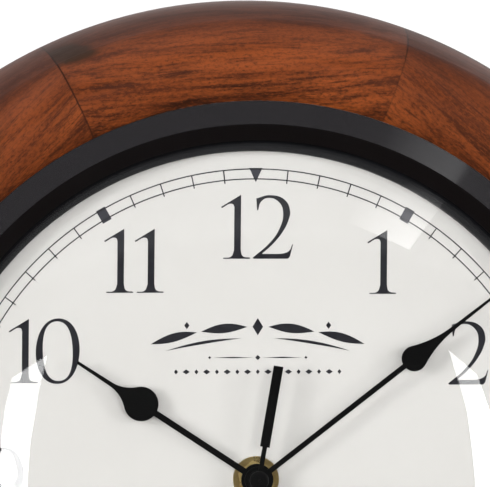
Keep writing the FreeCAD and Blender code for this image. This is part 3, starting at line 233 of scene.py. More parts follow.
class Paint:
    """A procedural material: a Principled shader and helpers for its nodes."""

    def __init__(self, name, roughness=0.5, metallic=0.0):
        self.material = bpy.data.materials.new(name)
        self.material.use_nodes = True
        self.tree = self.material.node_tree
        self.tree.nodes.clear()
        self.output = self.tree.nodes.new("ShaderNodeOutputMaterial")
        self.shader = self.tree.nodes.new("ShaderNodeBsdfPrincipled")
        self.tree.links.new(self.shader.outputs["BSDF"], self.output.inputs["Surface"])
        self.set("Roughness", roughness)
        self.set("Metallic", metallic)
        coordinates = self.tree.nodes.new("ShaderNodeTexCoord")
        self.place = coordinates.outputs["Object"]

    def set(self, socket, value):
        self.shader.inputs[socket].default_value = value

    def link(self, source, socket):
        self.tree.links.new(source, self.shader.inputs[socket])

    def moved(self, location=(0, 0, 0), turn=(0, 0, 0), scale=(1, 1, 1), source=None):
        """Coordinates shifted, then turned, then scaled."""
        shift = self.tree.nodes.new("ShaderNodeVectorMath")
        shift.operation = "SUBTRACT"
        self.tree.links.new(source or self.place, shift.inputs[0])
        shift.inputs[1].default_value = location
        mapping = self.tree.nodes.new("ShaderNodeMapping")
        mapping.vector_type = "POINT"
        self.tree.links.new(shift.outputs[0], mapping.inputs["Vector"])
        mapping.inputs["Rotation"].default_value = turn
        stretch = self.tree.nodes.new("ShaderNodeVectorMath")
        stretch.operation = "MULTIPLY"
        self.tree.links.new(mapping.outputs["Vector"], stretch.inputs[0])
        stretch.inputs[1].default_value = scale
        return stretch.outputs[0]

    def noise(self, scale, detail=4, roughness=0.5, distortion=0.0, at=None):
        node = self.tree.nodes.new("ShaderNodeTexNoise")
        node.inputs["Scale"].default_value = scale
        node.inputs["Detail"].default_value = detail
        node.inputs["Roughness"].default_value = roughness
        node.inputs["Distortion"].default_value = distortion
        self.tree.links.new(at or self.place, node.inputs["Vector"])
        return node.outputs["Fac"]

    def ramp(self, factor, stops):
        """Colour by factor. stops are (position, (r, g, b)) in linear colour."""
        node = self.tree.nodes.new("ShaderNodeValToRGB")
        self.tree.links.new(factor, node.inputs["Fac"])
        elements = node.color_ramp.elements
        while len(elements) < len(stops):
            elements.new(0.5)
        for element, (position, colour) in zip(elements, stops):
            element.position = position
            element.color = (*colour, 1)
        return node.outputs["Color"]

    def spread(self, *facts):
        return spread(self.tree, *facts)

    def maths(self, *facts):
        return maths(self.tree, *facts)

    def reach(self, first, second):
        """How far a point is from where these two coordinates are zero."""
        squares = [self.maths("MULTIPLY", side, side) for side in (first, second)]
        return self.maths("SQRT", self.maths("ADD", *squares), 0)

    def blend(self, factor, first, second):
        """From the first colour to the second as the factor goes from 0 to 1."""
        node = self.tree.nodes.new("ShaderNodeMix")
        node.data_type = "RGBA"
        sockets = [item for item in node.inputs if item.enabled and item.name in ("A", "B")]
        for socket, value in zip(sockets, (first, second)):
            if isinstance(value, tuple):
                socket.default_value = (*value, 1)
            else:
                self.tree.links.new(value, socket)
        amount = next(item for item in node.inputs if item.enabled and item.name == "Factor")
        if isinstance(factor, (int, float)):
            amount.default_value = factor
        else:
            self.tree.links.new(factor, amount)
        return next(item for item in node.outputs if item.enabled)

    def parts(self, source=None):
        """The X, Y and Z of some coordinates."""
        node = self.tree.nodes.new("ShaderNodeSeparateXYZ")
        self.tree.links.new(source or self.place, node.inputs[0])
        return tuple(node.outputs)

    def raised(self, source, amount):
        """Coordinates with their Z raised by a socket's amount."""
        rise = self.tree.nodes.new("ShaderNodeCombineXYZ")
        self.tree.links.new(amount, rise.inputs["Z"])
        node = self.tree.nodes.new("ShaderNodeVectorMath")
        node.operation = "ADD"
        self.tree.links.new(source, node.inputs[0])
        self.tree.links.new(rise.outputs[0], node.inputs[1])
        return node.outputs[0]

    def bump(self, height, depth, strength=1.0):
        node = self.tree.nodes.new("ShaderNodeBump")
        node.inputs["Distance"].default_value = depth
        node.inputs["Strength"].default_value = strength
        self.tree.links.new(height, node.inputs["Height"])
        self.link(node.outputs["Normal"], "Normal")


LIGHT_WOOD = (0.225, 0.052, 0.0115)
MIDDLE_WOOD = (0.132, 0.029, 0.0062)
BROWN_WOOD = (0.060, 0.0140, 0.0046)
STREAK_WOOD = (0.013, 0.0048, 0.0026)
# the rim's greyer colour: painted sheen of grazing reflection
RIM_SHEEN_WOOD = (0.140, 0.052, 0.0340)
KNOT_WOOD = (0.032, 0.0165, 0.0095)

# how fine each layer of the grain is along it and in the two directions across
WANDER_FINENESS = (16, 30, 30)
BAND_FINENESS = (9, 62, 78)
STREAK_FINENESS = (22, 250, 320)
LINE_FINENESS = (55, 700, 1000)
SPECK_FINENESS = (700, 1500, 1500)
GRAIN_WANDER = 0.008
# shifts each seed's piece of wood to another part of the noise
SEED_SHIFT = (0.37, 0.11, 0.23)

# Painted light and sheen: the wood turns browner outward of the first radii, so that the inner
# slope, which gets less light, looks as bright as the crown; between the second radii it turns
# greyer, a painted sheen of grazing reflection on the rim. A wave is how far the grain's noise
# shifts such an edge.
INNER_PAINTED_LIGHT_RADII = (0.116, 0.126)
RIM_PAINTED_SHEEN_RADII = (0.140, 0.162)
RIM_WAVE = 0.022
# the knot fades between these distances, and is longer along the grain
KNOT_EDGE = (0.0078, 0.0060)
KNOT_SQUEEZE = 0.48
KNOT_WAVE = 0.007
# a joint's dark line fades between these distances from a segment's end
JOINT_EDGE = (0.00055, 0.0002)
JOINT_WAVE = 0.0003


def wood_material(name, origin, turn, seed, darker=0.0, half_segment=None, knot=None):
    """Stained straight-grained wood under a satin lacquer. The grain runs along local X after the
    turn about Y. darker is a share of browner colour: the piece's own tone, and on some segments
    painted shade.
    A ring segment has half_segment, the angle from its middle to its joints,
    and can have a knot at a place (across, up) from the origin."""
    paint = Paint(name)
    local = paint.moved(origin, (0, turn, 0))
    drift = paint.moved([seed * shift for shift in SEED_SHIFT], source=local)
    wander = paint.noise(1.0, 2, at=paint.moved(scale=WANDER_FINENESS, source=drift))
    grain = paint.raised(drift, paint.maths("MULTIPLY", wander, GRAIN_WANDER))
    bands = paint.noise(1.0, 2, at=paint.moved(scale=BAND_FINENESS, source=grain))
    streaks = paint.noise(1.0, 5, 0.70, 0.4, at=paint.moved(scale=STREAK_FINENESS, source=grain))
    lines = paint.noise(1.0, 4, 0.6, at=paint.moved(scale=LINE_FINENESS, source=grain))
    specks = paint.noise(1.0, 3, 0.75, at=paint.moved(scale=SPECK_FINENESS, source=drift))
    colour = paint.ramp(bands, [(0.41, BROWN_WOOD), (0.52, MIDDLE_WOOD), (0.64, LIGHT_WOOD)])
    for layer, low, high, amount, stain in (
        (streaks, 0.50, 0.34, 0.55, LIGHT_WOOD),
        (streaks, 0.50, 0.63, 0.85, STREAK_WOOD),
        (lines, 0.50, 0.66, 0.75, STREAK_WOOD),
        (specks, 0.49, 0.68, 0.70, STREAK_WOOD),
        (specks, 0.48, 0.34, 0.45, LIGHT_WOOD),
    ):
        colour = paint.blend(paint.spread(layer, low, high, 0.0, amount), colour, stain)
    # a share of browner colour: the piece's own tone, and on some segments painted shade
    colour = paint.blend(darker, colour, BROWN_WOOD)
    if half_segment:
        across, _, up = paint.parts(paint.moved(origin))
        radius = paint.reach(across, up)
        # painted light: browner outward of the inner edge, so the dimmer-lit inner slope looks as
        # bright as the crown
        colour = paint.blend(paint.spread(radius, *INNER_PAINTED_LIGHT_RADII, 0.0, 0.28), colour, BROWN_WOOD)
        # painted sheen: the rim turns greyer where it rolls off, standing in for grazing
        # reflection
        radius = paint.maths("ADD", radius, paint.maths("MULTIPLY", bands, RIM_WAVE))
        colour = paint.blend(paint.spread(radius, *RIM_PAINTED_SHEEN_RADII, 0.0, 0.6), colour, RIM_SHEEN_WOOD)
    if knot:
        middle = (origin[0] + knot[0], 0, origin[2] + knot[1])
        along, _, beside = paint.parts(paint.moved(middle, (0, turn, 0), (KNOT_SQUEEZE, 0, 1)))
        away = paint.reach(along, beside)
        away = paint.maths("ADD", away, paint.maths("MULTIPLY", streaks, KNOT_WAVE))
        colour = paint.blend(paint.spread(away, *KNOT_EDGE, 0.0, 0.88), colour, KNOT_WOOD)
    if half_segment:
        along, _, out = paint.parts(local)
        side = paint.maths("MULTIPLY", paint.maths("ABSOLUTE", along, 0), math.cos(half_segment))
        gap = paint.maths("SUBTRACT", paint.maths("MULTIPLY", out, math.sin(half_segment)), side)
        gap = paint.maths("ADD", gap, paint.maths("MULTIPLY", specks, JOINT_WAVE))
        seen = paint.maths("MULTIPLY", paint.spread(gap, *JOINT_EDGE, 0.0, 0.95),
                           paint.spread(wander, 0.38, 0.52, 0.35, 1.0))
        colour = paint.blend(seen, colour, STREAK_WOOD)
    paint.link(colour, "Base Color")
    paint.link(paint.spread(streaks, 0.3, 0.8, 0.36, 0.52), "Roughness")
    paint.set("Specular IOR Level", 0.16)
    paint.set("Coat Weight", 0.04)
    paint.set("Coat Roughness", 0.3)
    paint.set("Sheen Weight", 0.10)
    paint.set("Sheen Roughness", 0.25)
    paint.bump(paint.maths("ADD", streaks, paint.maths("MULTIPLY", specks, 0.6)), 0.00006, 0.35)
    return paint.material


def satin_black(name, base, roughness, shine=0.3, grain=0.00002):
    """Painted or moulded black with a faint orange peel and dusty patches."""
    paint = Paint(name, roughness=roughness)
    patches = paint.noise(40, 4, 0.6)
    lighter = tuple(channel * 1.5 + 0.001 for channel in base)
    paint.link(paint.ramp(patches, [(0.35, base), (0.75, lighter)]), "Base Color")
    peel = paint.noise(900, 2)
    paint.link(paint.spread(patches, 0.3, 0.7, roughness - 0.05, roughness + 0.06), "Roughness")
    paint.bump(peel, grain, 0.5)
    paint.set("Specular IOR Level", shine)
    return paint.material


# the radius at which the band turns down into the wall, where the wall's painted shade begins, and
# half its softness
BEZEL_CORNER = 0.107
BEZEL_CORNER_SOFT = 0.0003


def bezel_material():
    """Black lacquer: a finely sprayed band, and inside it a wall painted blacker as painted shade,
    for the steep wall that the light barely reaches.
    """
    paint = Paint("bezel_black")
    across, _, up = paint.parts(paint.moved(tuple(CENTRE)))
    band = paint.spread(paint.reach(across, up), BEZEL_CORNER - BEZEL_CORNER_SOFT,
                        BEZEL_CORNER + BEZEL_CORNER_SOFT)
    spray = paint.noise(2200, 3, 0.7)
    dust = paint.ramp(spray, [(0.35, (0.004, 0.0034, 0.004)), (0.75, (0.013, 0.0112, 0.0135))])
    # the wall is the same lacquer as the band; its blacker colour is painted shade
    paint.link(paint.blend(band, (0.002, 0.001, 0.001), dust), "Base Color")
    paint.link(paint.spread(band, 0, 1, 0.34, 0.25), "Roughness")
    paint.set("Coat Weight", 0.8)
    paint.set("Coat Roughness", 0.06)
    paint.bump(paint.maths("MULTIPLY", spray, band), 0.00005, 0.5)
    return paint.material


def metal(name, light, dark, roughness, brushed=(300, 300, 300), metallic=1.0):
    """Metal with fine brush marks and patches of tarnish."""
    paint = Paint(name, roughness=roughness, metallic=metallic)
    lines = paint.noise(1.0, 4, 0.6, at=paint.moved(scale=brushed))
    tarnish = paint.noise(90, 4, 0.6)
    colour = paint.blend(paint.spread(tarnish, 0.4, 0.7), light, dark)
    paint.link(colour, "Base Color")
    paint.link(paint.spread(lines, 0.3, 0.7, roughness - 0.07, roughness + 0.10), "Roughness")
    paint.bump(lines, 0.00001, 0.4)
    return paint.material


def plastic(name, base, roughness, mottle=0.12, grain=0.00003):
    """A mottled, faintly grained surface: plastic, rubber, paint or board."""
    paint = Paint(name, roughness=roughness)
    patches = paint.noise(120, 4, 0.6)
    darker = tuple(channel * (1 - mottle) for channel in base)
    paint.link(paint.ramp(patches, [(0.3, darker), (0.7, base)]), "Base Color")
    paint.link(paint.spread(patches, 0.3, 0.7, roughness - 0.05, roughness + 0.07), "Roughness")
    paint.bump(paint.noise(1500, 2), grain, 0.5)
    return paint.material


def arbor_material():
    """The seconds wheel's nylon, but blackened where its arbor shows in the cap."""
    paint = Paint("seconds_nylon", roughness=0.45)
    patches = paint.noise(120, 4, 0.6)
    nylon = paint.ramp(patches, [(0.3, (0.63, 0.62, 0.58)), (0.7, (0.72, 0.71, 0.66))])
    _, depth, _ = paint.parts()
    hand_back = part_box("second_hand")[1].y
    inside = paint.spread(depth, hand_back, hand_back + 0.0005)
    paint.link(paint.blend(inside, (0.006, 0.006, 0.006), nylon), "Base Color")
    return paint.material


def card_material():
    """Warm white dial card, slightly mottled, with a faint paper tooth."""
    paint = Paint("dial_card", roughness=0.62)
    clouds = paint.noise(14, 3, 0.5)
    fibres = paint.noise(700, 4, 0.7)
    colour = paint.ramp(clouds, [(0.3, (0.650, 0.635, 0.611)), (0.7, (0.683, 0.670, 0.646))])
    colour = paint.blend(paint.spread(fibres, 0.4, 0.7, 0.0, 0.10), colour, (0.56, 0.55, 0.527))
    paint.link(colour, "Base Color")
    paint.bump(fibres, 0.00002, 0.4)
    return paint.material


def glass_material():
    """Clear glass that casts no shadow."""
    material = bpy.data.materials.new("clear_glass")
    material.use_nodes = True
    tree = material.node_tree
    tree.nodes.clear()
    output = tree.nodes.new("ShaderNodeOutputMaterial")
    shader = tree.nodes.new("ShaderNodeBsdfPrincipled")
    shader.inputs["Base Color"].default_value = (0.995, 0.998, 0.995, 1)
    shader.inputs["Roughness"].default_value = 0.0
    shader.inputs["IOR"].default_value = 1.5
    shader.inputs["Transmission Weight"].default_value = 1.0
    clear = tree.nodes.new("ShaderNodeBsdfTransparent")
    path = tree.nodes.new("ShaderNodeLightPath")
    mix = tree.nodes.new("ShaderNodeMixShader")
    tree.links.new(path.outputs["Is Shadow Ray"], mix.inputs["Fac"])
    tree.links.new(shader.outputs["BSDF"], mix.inputs[1])
    tree.links.new(clear.outputs["BSDF"], mix.inputs[2])
    tree.links.new(mix.outputs["Shader"], output.inputs["Surface"])
    return material


def ink_material(name, strength=1.0):
    """Bluish black ink. A strength over 1 makes it greyer."""
    paint = Paint(name, roughness=0.55)
    patches = paint.noise(300, 3, 0.6)
    dark = tuple(strength * channel for channel in (0.012, 0.012, 0.015))
    light = tuple(strength * channel for channel in (0.022, 0.022, 0.027))
    paint.link(paint.ramp(patches, [(0.3, dark), (0.8, light)]), "Base Color")
    return paint.material


def felt_material():
    """Dark green felt."""
    paint = Paint("felt", roughness=0.95)
    fibres = paint.noise(900, 4, 0.7)
    green = paint.ramp(fibres, [(0.3, (0.02, 0.055, 0.025)), (0.75, (0.06, 0.13, 0.07))])
    paint.link(green, "Base Color")
    paint.set("Sheen Weight", 0.5)
    paint.bump(fibres, 0.0003, 0.8)
    return paint.material


def floor_material():
    """A pale table top, barely clouded."""
    paint = Paint("pale_floor", roughness=0.7)
    clouds = paint.noise(3, 3)
    pale = paint.ramp(clouds, [(0.3, (0.80, 0.80, 0.79)), (0.7, (0.84, 0.84, 0.83))])
    paint.link(pale, "Base Color")
    return paint.material


def dress(material, *nodes):
    """Gives CAD nodes their material."""
    for node in nodes:
        mesh = NODES[node].data
        mesh.materials.clear()
        mesh.materials.append(material)
        for face in mesh.polygons:
            face.material_index = 0


# ------------------------------------------------------------ shapes in code


def outward(mesh):
    """Turns every face of a closed mesh to look out."""
    shape = bmesh.new()
    shape.from_mesh(mesh)
    bmesh.ops.recalc_face_normals(shape, faces=shape.faces)
    shape.to_mesh(mesh)
    shape.free()


def new_object(name, mesh, material):
    """A mesh as an object in the scene, with one material."""
    thing = bpy.data.objects.new(name, mesh)
    bpy.context.scene.collection.objects.link(thing)
    mesh.materials.append(material)
    return thing


# ink lies this far off the card, in millimetres, and is this thick
PRINT_LIFT = 0.02
PRINT_THICKNESS = 0.03
CURVE_FINENESS = 16


def on_card(thing):
    """Makes a printed piece part of the dial card."""
    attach(thing, "clock")


def printed(name, outlines, material, centre=(0, 0)):
    """Closed outlines printed on the dial as a thin filled shape. A knot is
    (across, up) in millimetres for a corner, or (across, up, "round") where
    the line runs through smoothly."""
    curve = bpy.data.curves.new(name, "CURVE")
    curve.dimensions = "2D"
    curve.fill_mode = "BOTH"
    curve.resolution_u = CURVE_FINENESS
    curve.extrude = PRINT_THICKNESS * MM / 2
    for outline in outlines:
        spline = curve.splines.new("BEZIER")
        spline.bezier_points.add(len(outline) - 1)
        spline.use_cyclic_u = True
        for point, (across, up, *kinds) in zip(spline.bezier_points, outline):
            point.co = (across * MM, up * MM, 0)
            kind = "AUTO" if kinds else "VECTOR"
            point.handle_left_type = kind
            point.handle_right_type = kind
    shape = bpy.data.objects.new(name + "_curve", curve)
    bpy.context.scene.collection.objects.link(shape)
    bpy.context.view_layer.update()
    graph = bpy.context.evaluated_depsgraph_get()
    mesh = bpy.data.meshes.new_from_object(shape.evaluated_get(graph))
    bpy.data.objects.remove(shape)
    place = on_dial(*centre, PRINT_LIFT + PRINT_THICKNESS / 2)
    mesh.transform(Matrix.Translation(place) @ Matrix.Rotation(math.pi / 2, 4, "X"))
    mesh.materials.clear()
    on_card(new_object(name, mesh, material))


def oval(centre, half_wide, half_tall, lean=0.0):
    """Four round knots of an oval; lean shifts its top right and its foot left."""
    x, y = centre
    return [
        (x + lean, y + half_tall, "round"),
        (x + half_wide, y, "round"),
        (x - lean, y - half_tall, "round"),
        (x - half_wide, y, "round"),
    ]


NUMERAL_HEIGHT = 19.2
# Each digit's width and outlines, drawn standing on the line at 0. The next
# digit starts that width, and a gap, further to the right.
GLYPHS = {
    "0": (13.2, [
        oval((6.6, 9.6), 6.6, 9.85, 0.4),
        oval((6.6, 9.6), 4.5, 8.95, -0.3),
    ]),
    "1": (8.6, [[
        (5.75, 19.3), (5.6, 2.6), (6.2, 0.85, "round"), (8.4, 0.35), (8.4, 0.0), (0.3, 0.0),
        (0.3, 0.3), (2.7, 0.7, "round"), (3.6, 2.6), (3.7, 15.6), (3.2, 16.5, "round"),
        (-0.1, 15.3), (-0.35, 15.65),
    ]]),
    "2": (12.4, [[
        (0.0, 0.3), (0.4, 0.0), (10.7, 0.0), (11.35, 0.65), (12.3, 4.35), (12.05, 4.35),
        (11.2, 2.5, "round"), (9.7, 1.7, "round"), (7.4, 1.45), (2.85, 1.5), (6.15, 4.45, "round"),
        (9.1, 8.05, "round"), (10.95, 11.7, "round"), (11.4, 14.4, "round"),
        (9.9, 17.7, "round"), (5.5, 19.2, "round"), (1.15, 18.2), (1.4, 14.65),
        (1.7, 14.65), (2.6, 17.2, "round"), (4.9, 18.35, "round"), (8.2, 16.9, "round"),
        (9.3, 13.7, "round"), (8.1, 8.9, "round"), (5.5, 5.1, "round"),
    ]]),
    "3": (10.8, [[
        (1.0, 15.0), (0.8, 17.9), (4.9, 19.3, "round"), (9.3, 15.6, "round"),
        (8.3, 12.2, "round"), (6.3, 10.8), (9.2, 9.2, "round"), (10.6, 5.7, "round"),
        (7.8, 1.0, "round"), (3.0, -0.3, "round"), (0.4, 0.4, "round"), (0.1, 1.3, "round"),
        (1.0, 2.0, "round"), (3.2, 1.1, "round"), (6.5, 1.6, "round"), (8.5, 5.3, "round"),
        (6.9, 8.8, "round"), (3.6, 9.6), (3.6, 10.2), (6.3, 11.9, "round"),
        (7.2, 14.6, "round"), (4.3, 17.9, "round"), (1.9, 16.8, "round"), (1.35, 15.0),
    ]]),
    "4": (12.4, [
        [
            (8.3, 19.3), (9.6, 19.3), (9.6, 6.2), (12.2, 6.2), (12.2, 4.8), (9.6, 4.8),
            (9.6, 2.4), (10.2, 0.8, "round"), (12.0, 0.35), (12.0, 0.0), (5.2, 0.0),
            (5.2, 0.35), (7.0, 0.8, "round"), (7.6, 2.4), (7.6, 4.8), (0.2, 4.8), (0.2, 5.7),
        ],
        [(7.6, 16.3), (7.6, 6.2), (1.5, 6.2)],
    ]),
    "5": (10.8, [[
        (3.1, 19.1), (10.0, 19.3), (10.3, 19.6), (9.6, 17.3), (4.0, 17.1), (3.5, 12.3),
        (7.2, 11.8, "round"), (10.6, 7.0, "round"), (8.0, 1.3, "round"), (3.0, -0.3, "round"),
        (0.4, 0.4, "round"), (0.1, 1.3, "round"), (1.0, 2.0, "round"), (3.2, 1.1, "round"),
        (6.7, 1.9, "round"), (8.5, 6.1, "round"), (6.4, 10.1, "round"), (2.4, 10.9),
    ]]),
    "6": (12.0, [
        [
            (11.0, 19.4), (11.0, 19.0), (6.0, 16.4, "round"), (3.1, 11.0),
            (6.8, 12.2, "round"), (11.7, 6.4, "round"), (6.0, -0.3, "round"),
            (0.3, 6.9, "round"), (2.5, 13.5, "round"), (6.4, 17.6, "round"),
        ],
        [
            (5.8, 11.2, "round"), (2.9, 9.6, "round"), (2.4, 7.0, "round"),
            (6.2, 0.6, "round"), (9.6, 6.0, "round"),
        ],
    ]),
    "7": (11.4, [[
        (0.6, 19.2), (11.3, 19.2), (11.3, 18.7), (4.6, 0.0), (2.8, 0.0), (9.5, 17.2),
        (2.4, 17.2), (1.3, 16.5, "round"), (0.4, 14.8), (0.0, 14.8),
    ]]),
    "8": (11.6, [
        [
            (5.9, 19.4, "round"), (10.2, 15.2, "round"), (7.6, 10.9, "round"),
            (11.1, 5.0, "round"), (5.6, -0.3, "round"), (0.4, 4.9, "round"),
            (3.6, 9.8, "round"), (1.5, 14.6, "round"),
        ],
        [
            (5.9, 18.5, "round"), (3.3, 15.4, "round"), (6.4, 11.9, "round"),
            (8.5, 15.3, "round"),
        ],
        [
            (4.9, 8.9, "round"), (2.2, 4.8, "round"), (5.7, 0.6, "round"),
            (9.1, 4.3, "round"),
        ],
    ]),
}
SIX_WIDTH, SIX_LINES = GLYPHS["6"]
# the 9 is the 6 turned upside down
GLYPHS["9"] = (SIX_WIDTH, [
    [(SIX_WIDTH - across, NUMERAL_HEIGHT - up, *kind) for across, up, *kind in line]
    for line in SIX_LINES
])

NUMERAL_GAP = 0.6
NUMERAL_CIRCLE = 75.7
# how far some numerals are set off their places, and digits off their usual gap
SET_OFF = {1: (0.7, -0.1), 2: (-0.8, 0.1), 10: (1.8, 0.9), 11: (1.2, 0.3), 12: (0.6, 0.4)}
TIGHT = {10: -1.4}


def numeral(hour, ink):
    """One upright hour numeral, centred on the numeral circle."""
    digits = str(hour)
    gap = NUMERAL_GAP + TIGHT.get(hour, 0)
    width = sum(GLYPHS[digit][0] for digit in digits) + gap * (len(digits) - 1)
    outlines = []
    start = -width / 2
    for digit in digits:
        advance, lines = GLYPHS[digit]
        for line in lines:
            outlines.append([
                (across + start, up - NUMERAL_HEIGHT / 2, *kind) for across, up, *kind in line
            ])
        start += advance + gap
    angle = math.radians(30 * hour)
    across, up = SET_OFF.get(hour, (0, 0))
    centre = (NUMERAL_CIRCLE * math.sin(angle) + across, NUMERAL_CIRCLE * math.cos(angle) + up)
    printed(f"numeral_{hour}", outlines, ink, centre)


DOME_RADIUS = 101.5
DOME_THICKNESS = 2.0
DOME_STEPS = 56
TURN_STEPS = 192
SHARP_ANGLE = math.radians(12)


def lathe(name, profile, material):
    """A shape turned on the hands' axis from (radius, front) in millimetres.
    A point on the axis becomes a pole."""
    vertices = []
    rows = []
    for radius, front in profile:
        if radius == 0:
            rows.append([len(vertices)])
            vertices.append((0, -front * MM, AXIS_UP))
            continue
        rows.append(range(len(vertices), len(vertices) + TURN_STEPS))
        for step in range(TURN_STEPS):
            angle = math.tau * step / TURN_STEPS
            across = radius * MM * math.sin(angle)
            up = radius * MM * math.cos(angle)
            vertices.append((across, -front * MM, AXIS_UP + up))
    faces = []
    for first, second in zip(rows, rows[1:]):
        for step in range(TURN_STEPS):
            after = (step + 1) % TURN_STEPS
            if len(first) == 1:
                faces.append((first[0], second[after], second[step]))
            elif len(second) == 1:
                faces.append((first[step], first[after], second[0]))
            else:
                faces.append((first[step], first[after], second[after], second[step]))
    mesh = bpy.data.meshes.new(name)
    mesh.from_pydata(vertices, [], faces)
    outward(mesh)
    mesh.shade_smooth()
    mesh.set_sharp_from_angle(angle=SHARP_ANGLE)
    return new_object(name, mesh, material)


def clear_dome(material):
    """The domed glass, turned finely enough to show what is behind it undistorted."""
    low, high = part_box("dome_glass")
    rim_radius = (high.x - low.x) / 2 / MM
    rim_back = -high.y / MM
    apex = -low.y / MM
    rise = apex - DOME_THICKNESS - rim_back
    curve = (DOME_RADIUS ** 2 + rise ** 2) / (2 * rise)

    def cap(lift):
        """The dome's curve from its apex to its foot."""
        points = []
        for step in range(DOME_STEPS + 1):
            radius = DOME_RADIUS * step / DOME_STEPS
            points.append((radius, lift + rise - curve + math.sqrt(curve ** 2 - radius ** 2)))
        return points

    inner = cap(rim_back)
    rim_front = rim_back + DOME_THICKNESS
    outer = cap(rim_front)
    profile = inner + [(rim_radius, rim_back), (rim_radius, rim_front)] + outer[::-1]
    dome = lathe("clear_dome", profile, material)
    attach(dome, "clock")
    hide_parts("dome_glass")


def dial_mesh(name, blocks, material):
    """Flat printed blocks, each from its (across, up) corners, given thickness."""
    vertices = []
    faces = []
    for corners in blocks:
        base = len(vertices)
        count = len(corners)
        for lift in (PRINT_LIFT, PRINT_LIFT + PRINT_THICKNESS):
            vertices.extend(on_dial(across, up, lift) for across, up in corners)
        faces.append([base + count + index for index in range(count)])
        faces.append([base + count - 1 - index for index in range(count)])
        for index in range(count):
            following = (index + 1) % count
            faces.append([base + index, base + following,
                          base + count + following, base + count + index])
    mesh = bpy.data.meshes.new(name)
    mesh.from_pydata(vertices, [], faces)
    outward(mesh)
    on_card(new_object(name, mesh, material))


def radial_block(angle, inner, outer, half_width):
    """The four corners of a bar that points at the dial's centre."""
    out = Vector((math.sin(angle), math.cos(angle)))
    side = Vector((out.y, -out.x))
    return [tuple(out * inner - side * half_width), tuple(out * inner + side * half_width),
            tuple(out * outer + side * half_width), tuple(out * outer - side * half_width)]


ORNAMENT_ACROSS = 0.6
ARCH_TOP = 46.0
ARCH_FALL = 0.0050
LOWER_ARCH_TOP = 42.6
RULE_UP = 36.7
DOTS_UP = 32.4
DOT_GAP = 3.1
SWASH_STEPS = 8


def arch(across, top):
    """The height of a shallow arch."""
    return top - ARCH_FALL * across ** 2


def swash(start, end, top, half_width):
    """A stroke along the arch that swells in the middle and ends in points."""
    upper = []
    lower = []
    for step in range(1, SWASH_STEPS):
        part = step / SWASH_STEPS
        across = start + (end - start) * part
        swell = half_width * math.sin(math.pi * part)
        upper.append((across + ORNAMENT_ACROSS, arch(across, top) + swell, "round"))
        lower.append((across + ORNAMENT_ACROSS, arch(across, top) - swell, "round"))
    first = (start + ORNAMENT_ACROSS, arch(start, top))
    last = (end + ORNAMENT_ACROSS, arch(end, top))
    return [first, *upper, last, *lower[::-1]]


def lozenge(across, up, half_wide, half_tall):
    """The four corners of an upright lozenge."""
    across += ORNAMENT_ACROSS
    return [(across, up + half_tall), (across + half_wide, up), (across, up - half_tall),
            (across - half_wide, up)]


def ornament(ink):
    """A plain printed flourish above the hands, with no lettering."""
    lines = [lozenge(0, ARCH_TOP, 1.6, 2.6)]
    for side in (-1, 1):
        lines.append(swash(side * 3.2, side * 17.2, ARCH_TOP, 1.4))
        lines.append(swash(side * 18.4, side * 32.5, ARCH_TOP, 1.3))
        lines.append(swash(side * 5, side * 28, LOWER_ARCH_TOP, 0.45))
        lines.append(lozenge(side * 21.5, arch(21.5, ARCH_TOP) + 2.7, 0.8, 1.1))
    printed("ornament_arch", lines, ink)
    rule = [lozenge(0, RULE_UP, 0.8, 0.8)]
    for side in (-1, 1):
        rule.append(lozenge(side * 7.5, RULE_UP, 6.0, 0.22))
        rule.append(lozenge(side * 14.6, RULE_UP, 0.45, 0.45))
    for step in range(-8, 9):
        rule.append(lozenge(step * DOT_GAP, DOTS_UP, 1.1 if step % 2 else 0.6, 0.75))
    printed("ornament_rule", rule, ink)


TRACK_OUTER = 93.6
TRACK_INNER = 90.6
TRACK_LINE = 0.36
TICK_END = 89.6
BLOCK_HALF_WIDTH = 1.5
BLOCK_LENGTH = 4.3
BLOCK_OUTER = TRACK_OUTER + 0.5
POINTER_HALF_WIDTH = 2.0
POINTER_OUTER = TRACK_OUTER + 0.3
CIRCLE_STEPS = 360


def circle_line(name, radius, material):
    """A thin printed circle as a ring of quads."""
    inner = radius - TRACK_LINE / 2
    outer = radius + TRACK_LINE / 2
    blocks = []
    for step in range(CIRCLE_STEPS):
        first = math.tau * step / CIRCLE_STEPS
        second = math.tau * (step + 1) / CIRCLE_STEPS
        corners = ((outer, first), (outer, second), (inner, second), (inner, first))
        blocks.append([
            (edge * math.sin(angle), edge * math.cos(angle)) for edge, angle in corners
        ])
    dial_mesh(name, blocks, material)


def minute_track(ink, block_ink):
    """Two circles with a tick at each minute, a block at each hour and a
    triangle that points down at 12."""
    circle_line("track_outer_line", TRACK_OUTER, ink)
    circle_line("track_inner_line", TRACK_INNER, ink)
    ticks = []
    blocks = []
    for minute in range(60):
        angle = math.radians(6 * minute)
        if minute == 0:
            blocks.append([
                (-POINTER_HALF_WIDTH, POINTER_OUTER),
                (0, POINTER_OUTER - BLOCK_LENGTH),
                (POINTER_HALF_WIDTH, POINTER_OUTER),
            ])
        elif minute % 5 == 0:
            blocks.append(radial_block(angle, BLOCK_OUTER - BLOCK_LENGTH, BLOCK_OUTER,
                                       BLOCK_HALF_WIDTH))
        else:
            ticks.append(radial_block(angle, TICK_END, TRACK_OUTER, TRACK_LINE / 2))
    dial_mesh("minute_ticks", ticks, ink)
    dial_mesh("five_minute_blocks", blocks, block_ink)


make_camera()
make_world()
make_lights()

INK = ink_material("dial_ink")
for hour in range(1, 13):
    numeral(hour, INK)
minute_track(INK, ink_material("track_ink", 2.4))
ornament(INK)

# ----------------------------------------------------------- CAD materials

# where the top segment's knot is, from the hands' axis
KNOT = (-0.0565, 0.1285)
HALF_SEGMENT = math.pi / SEGMENTS
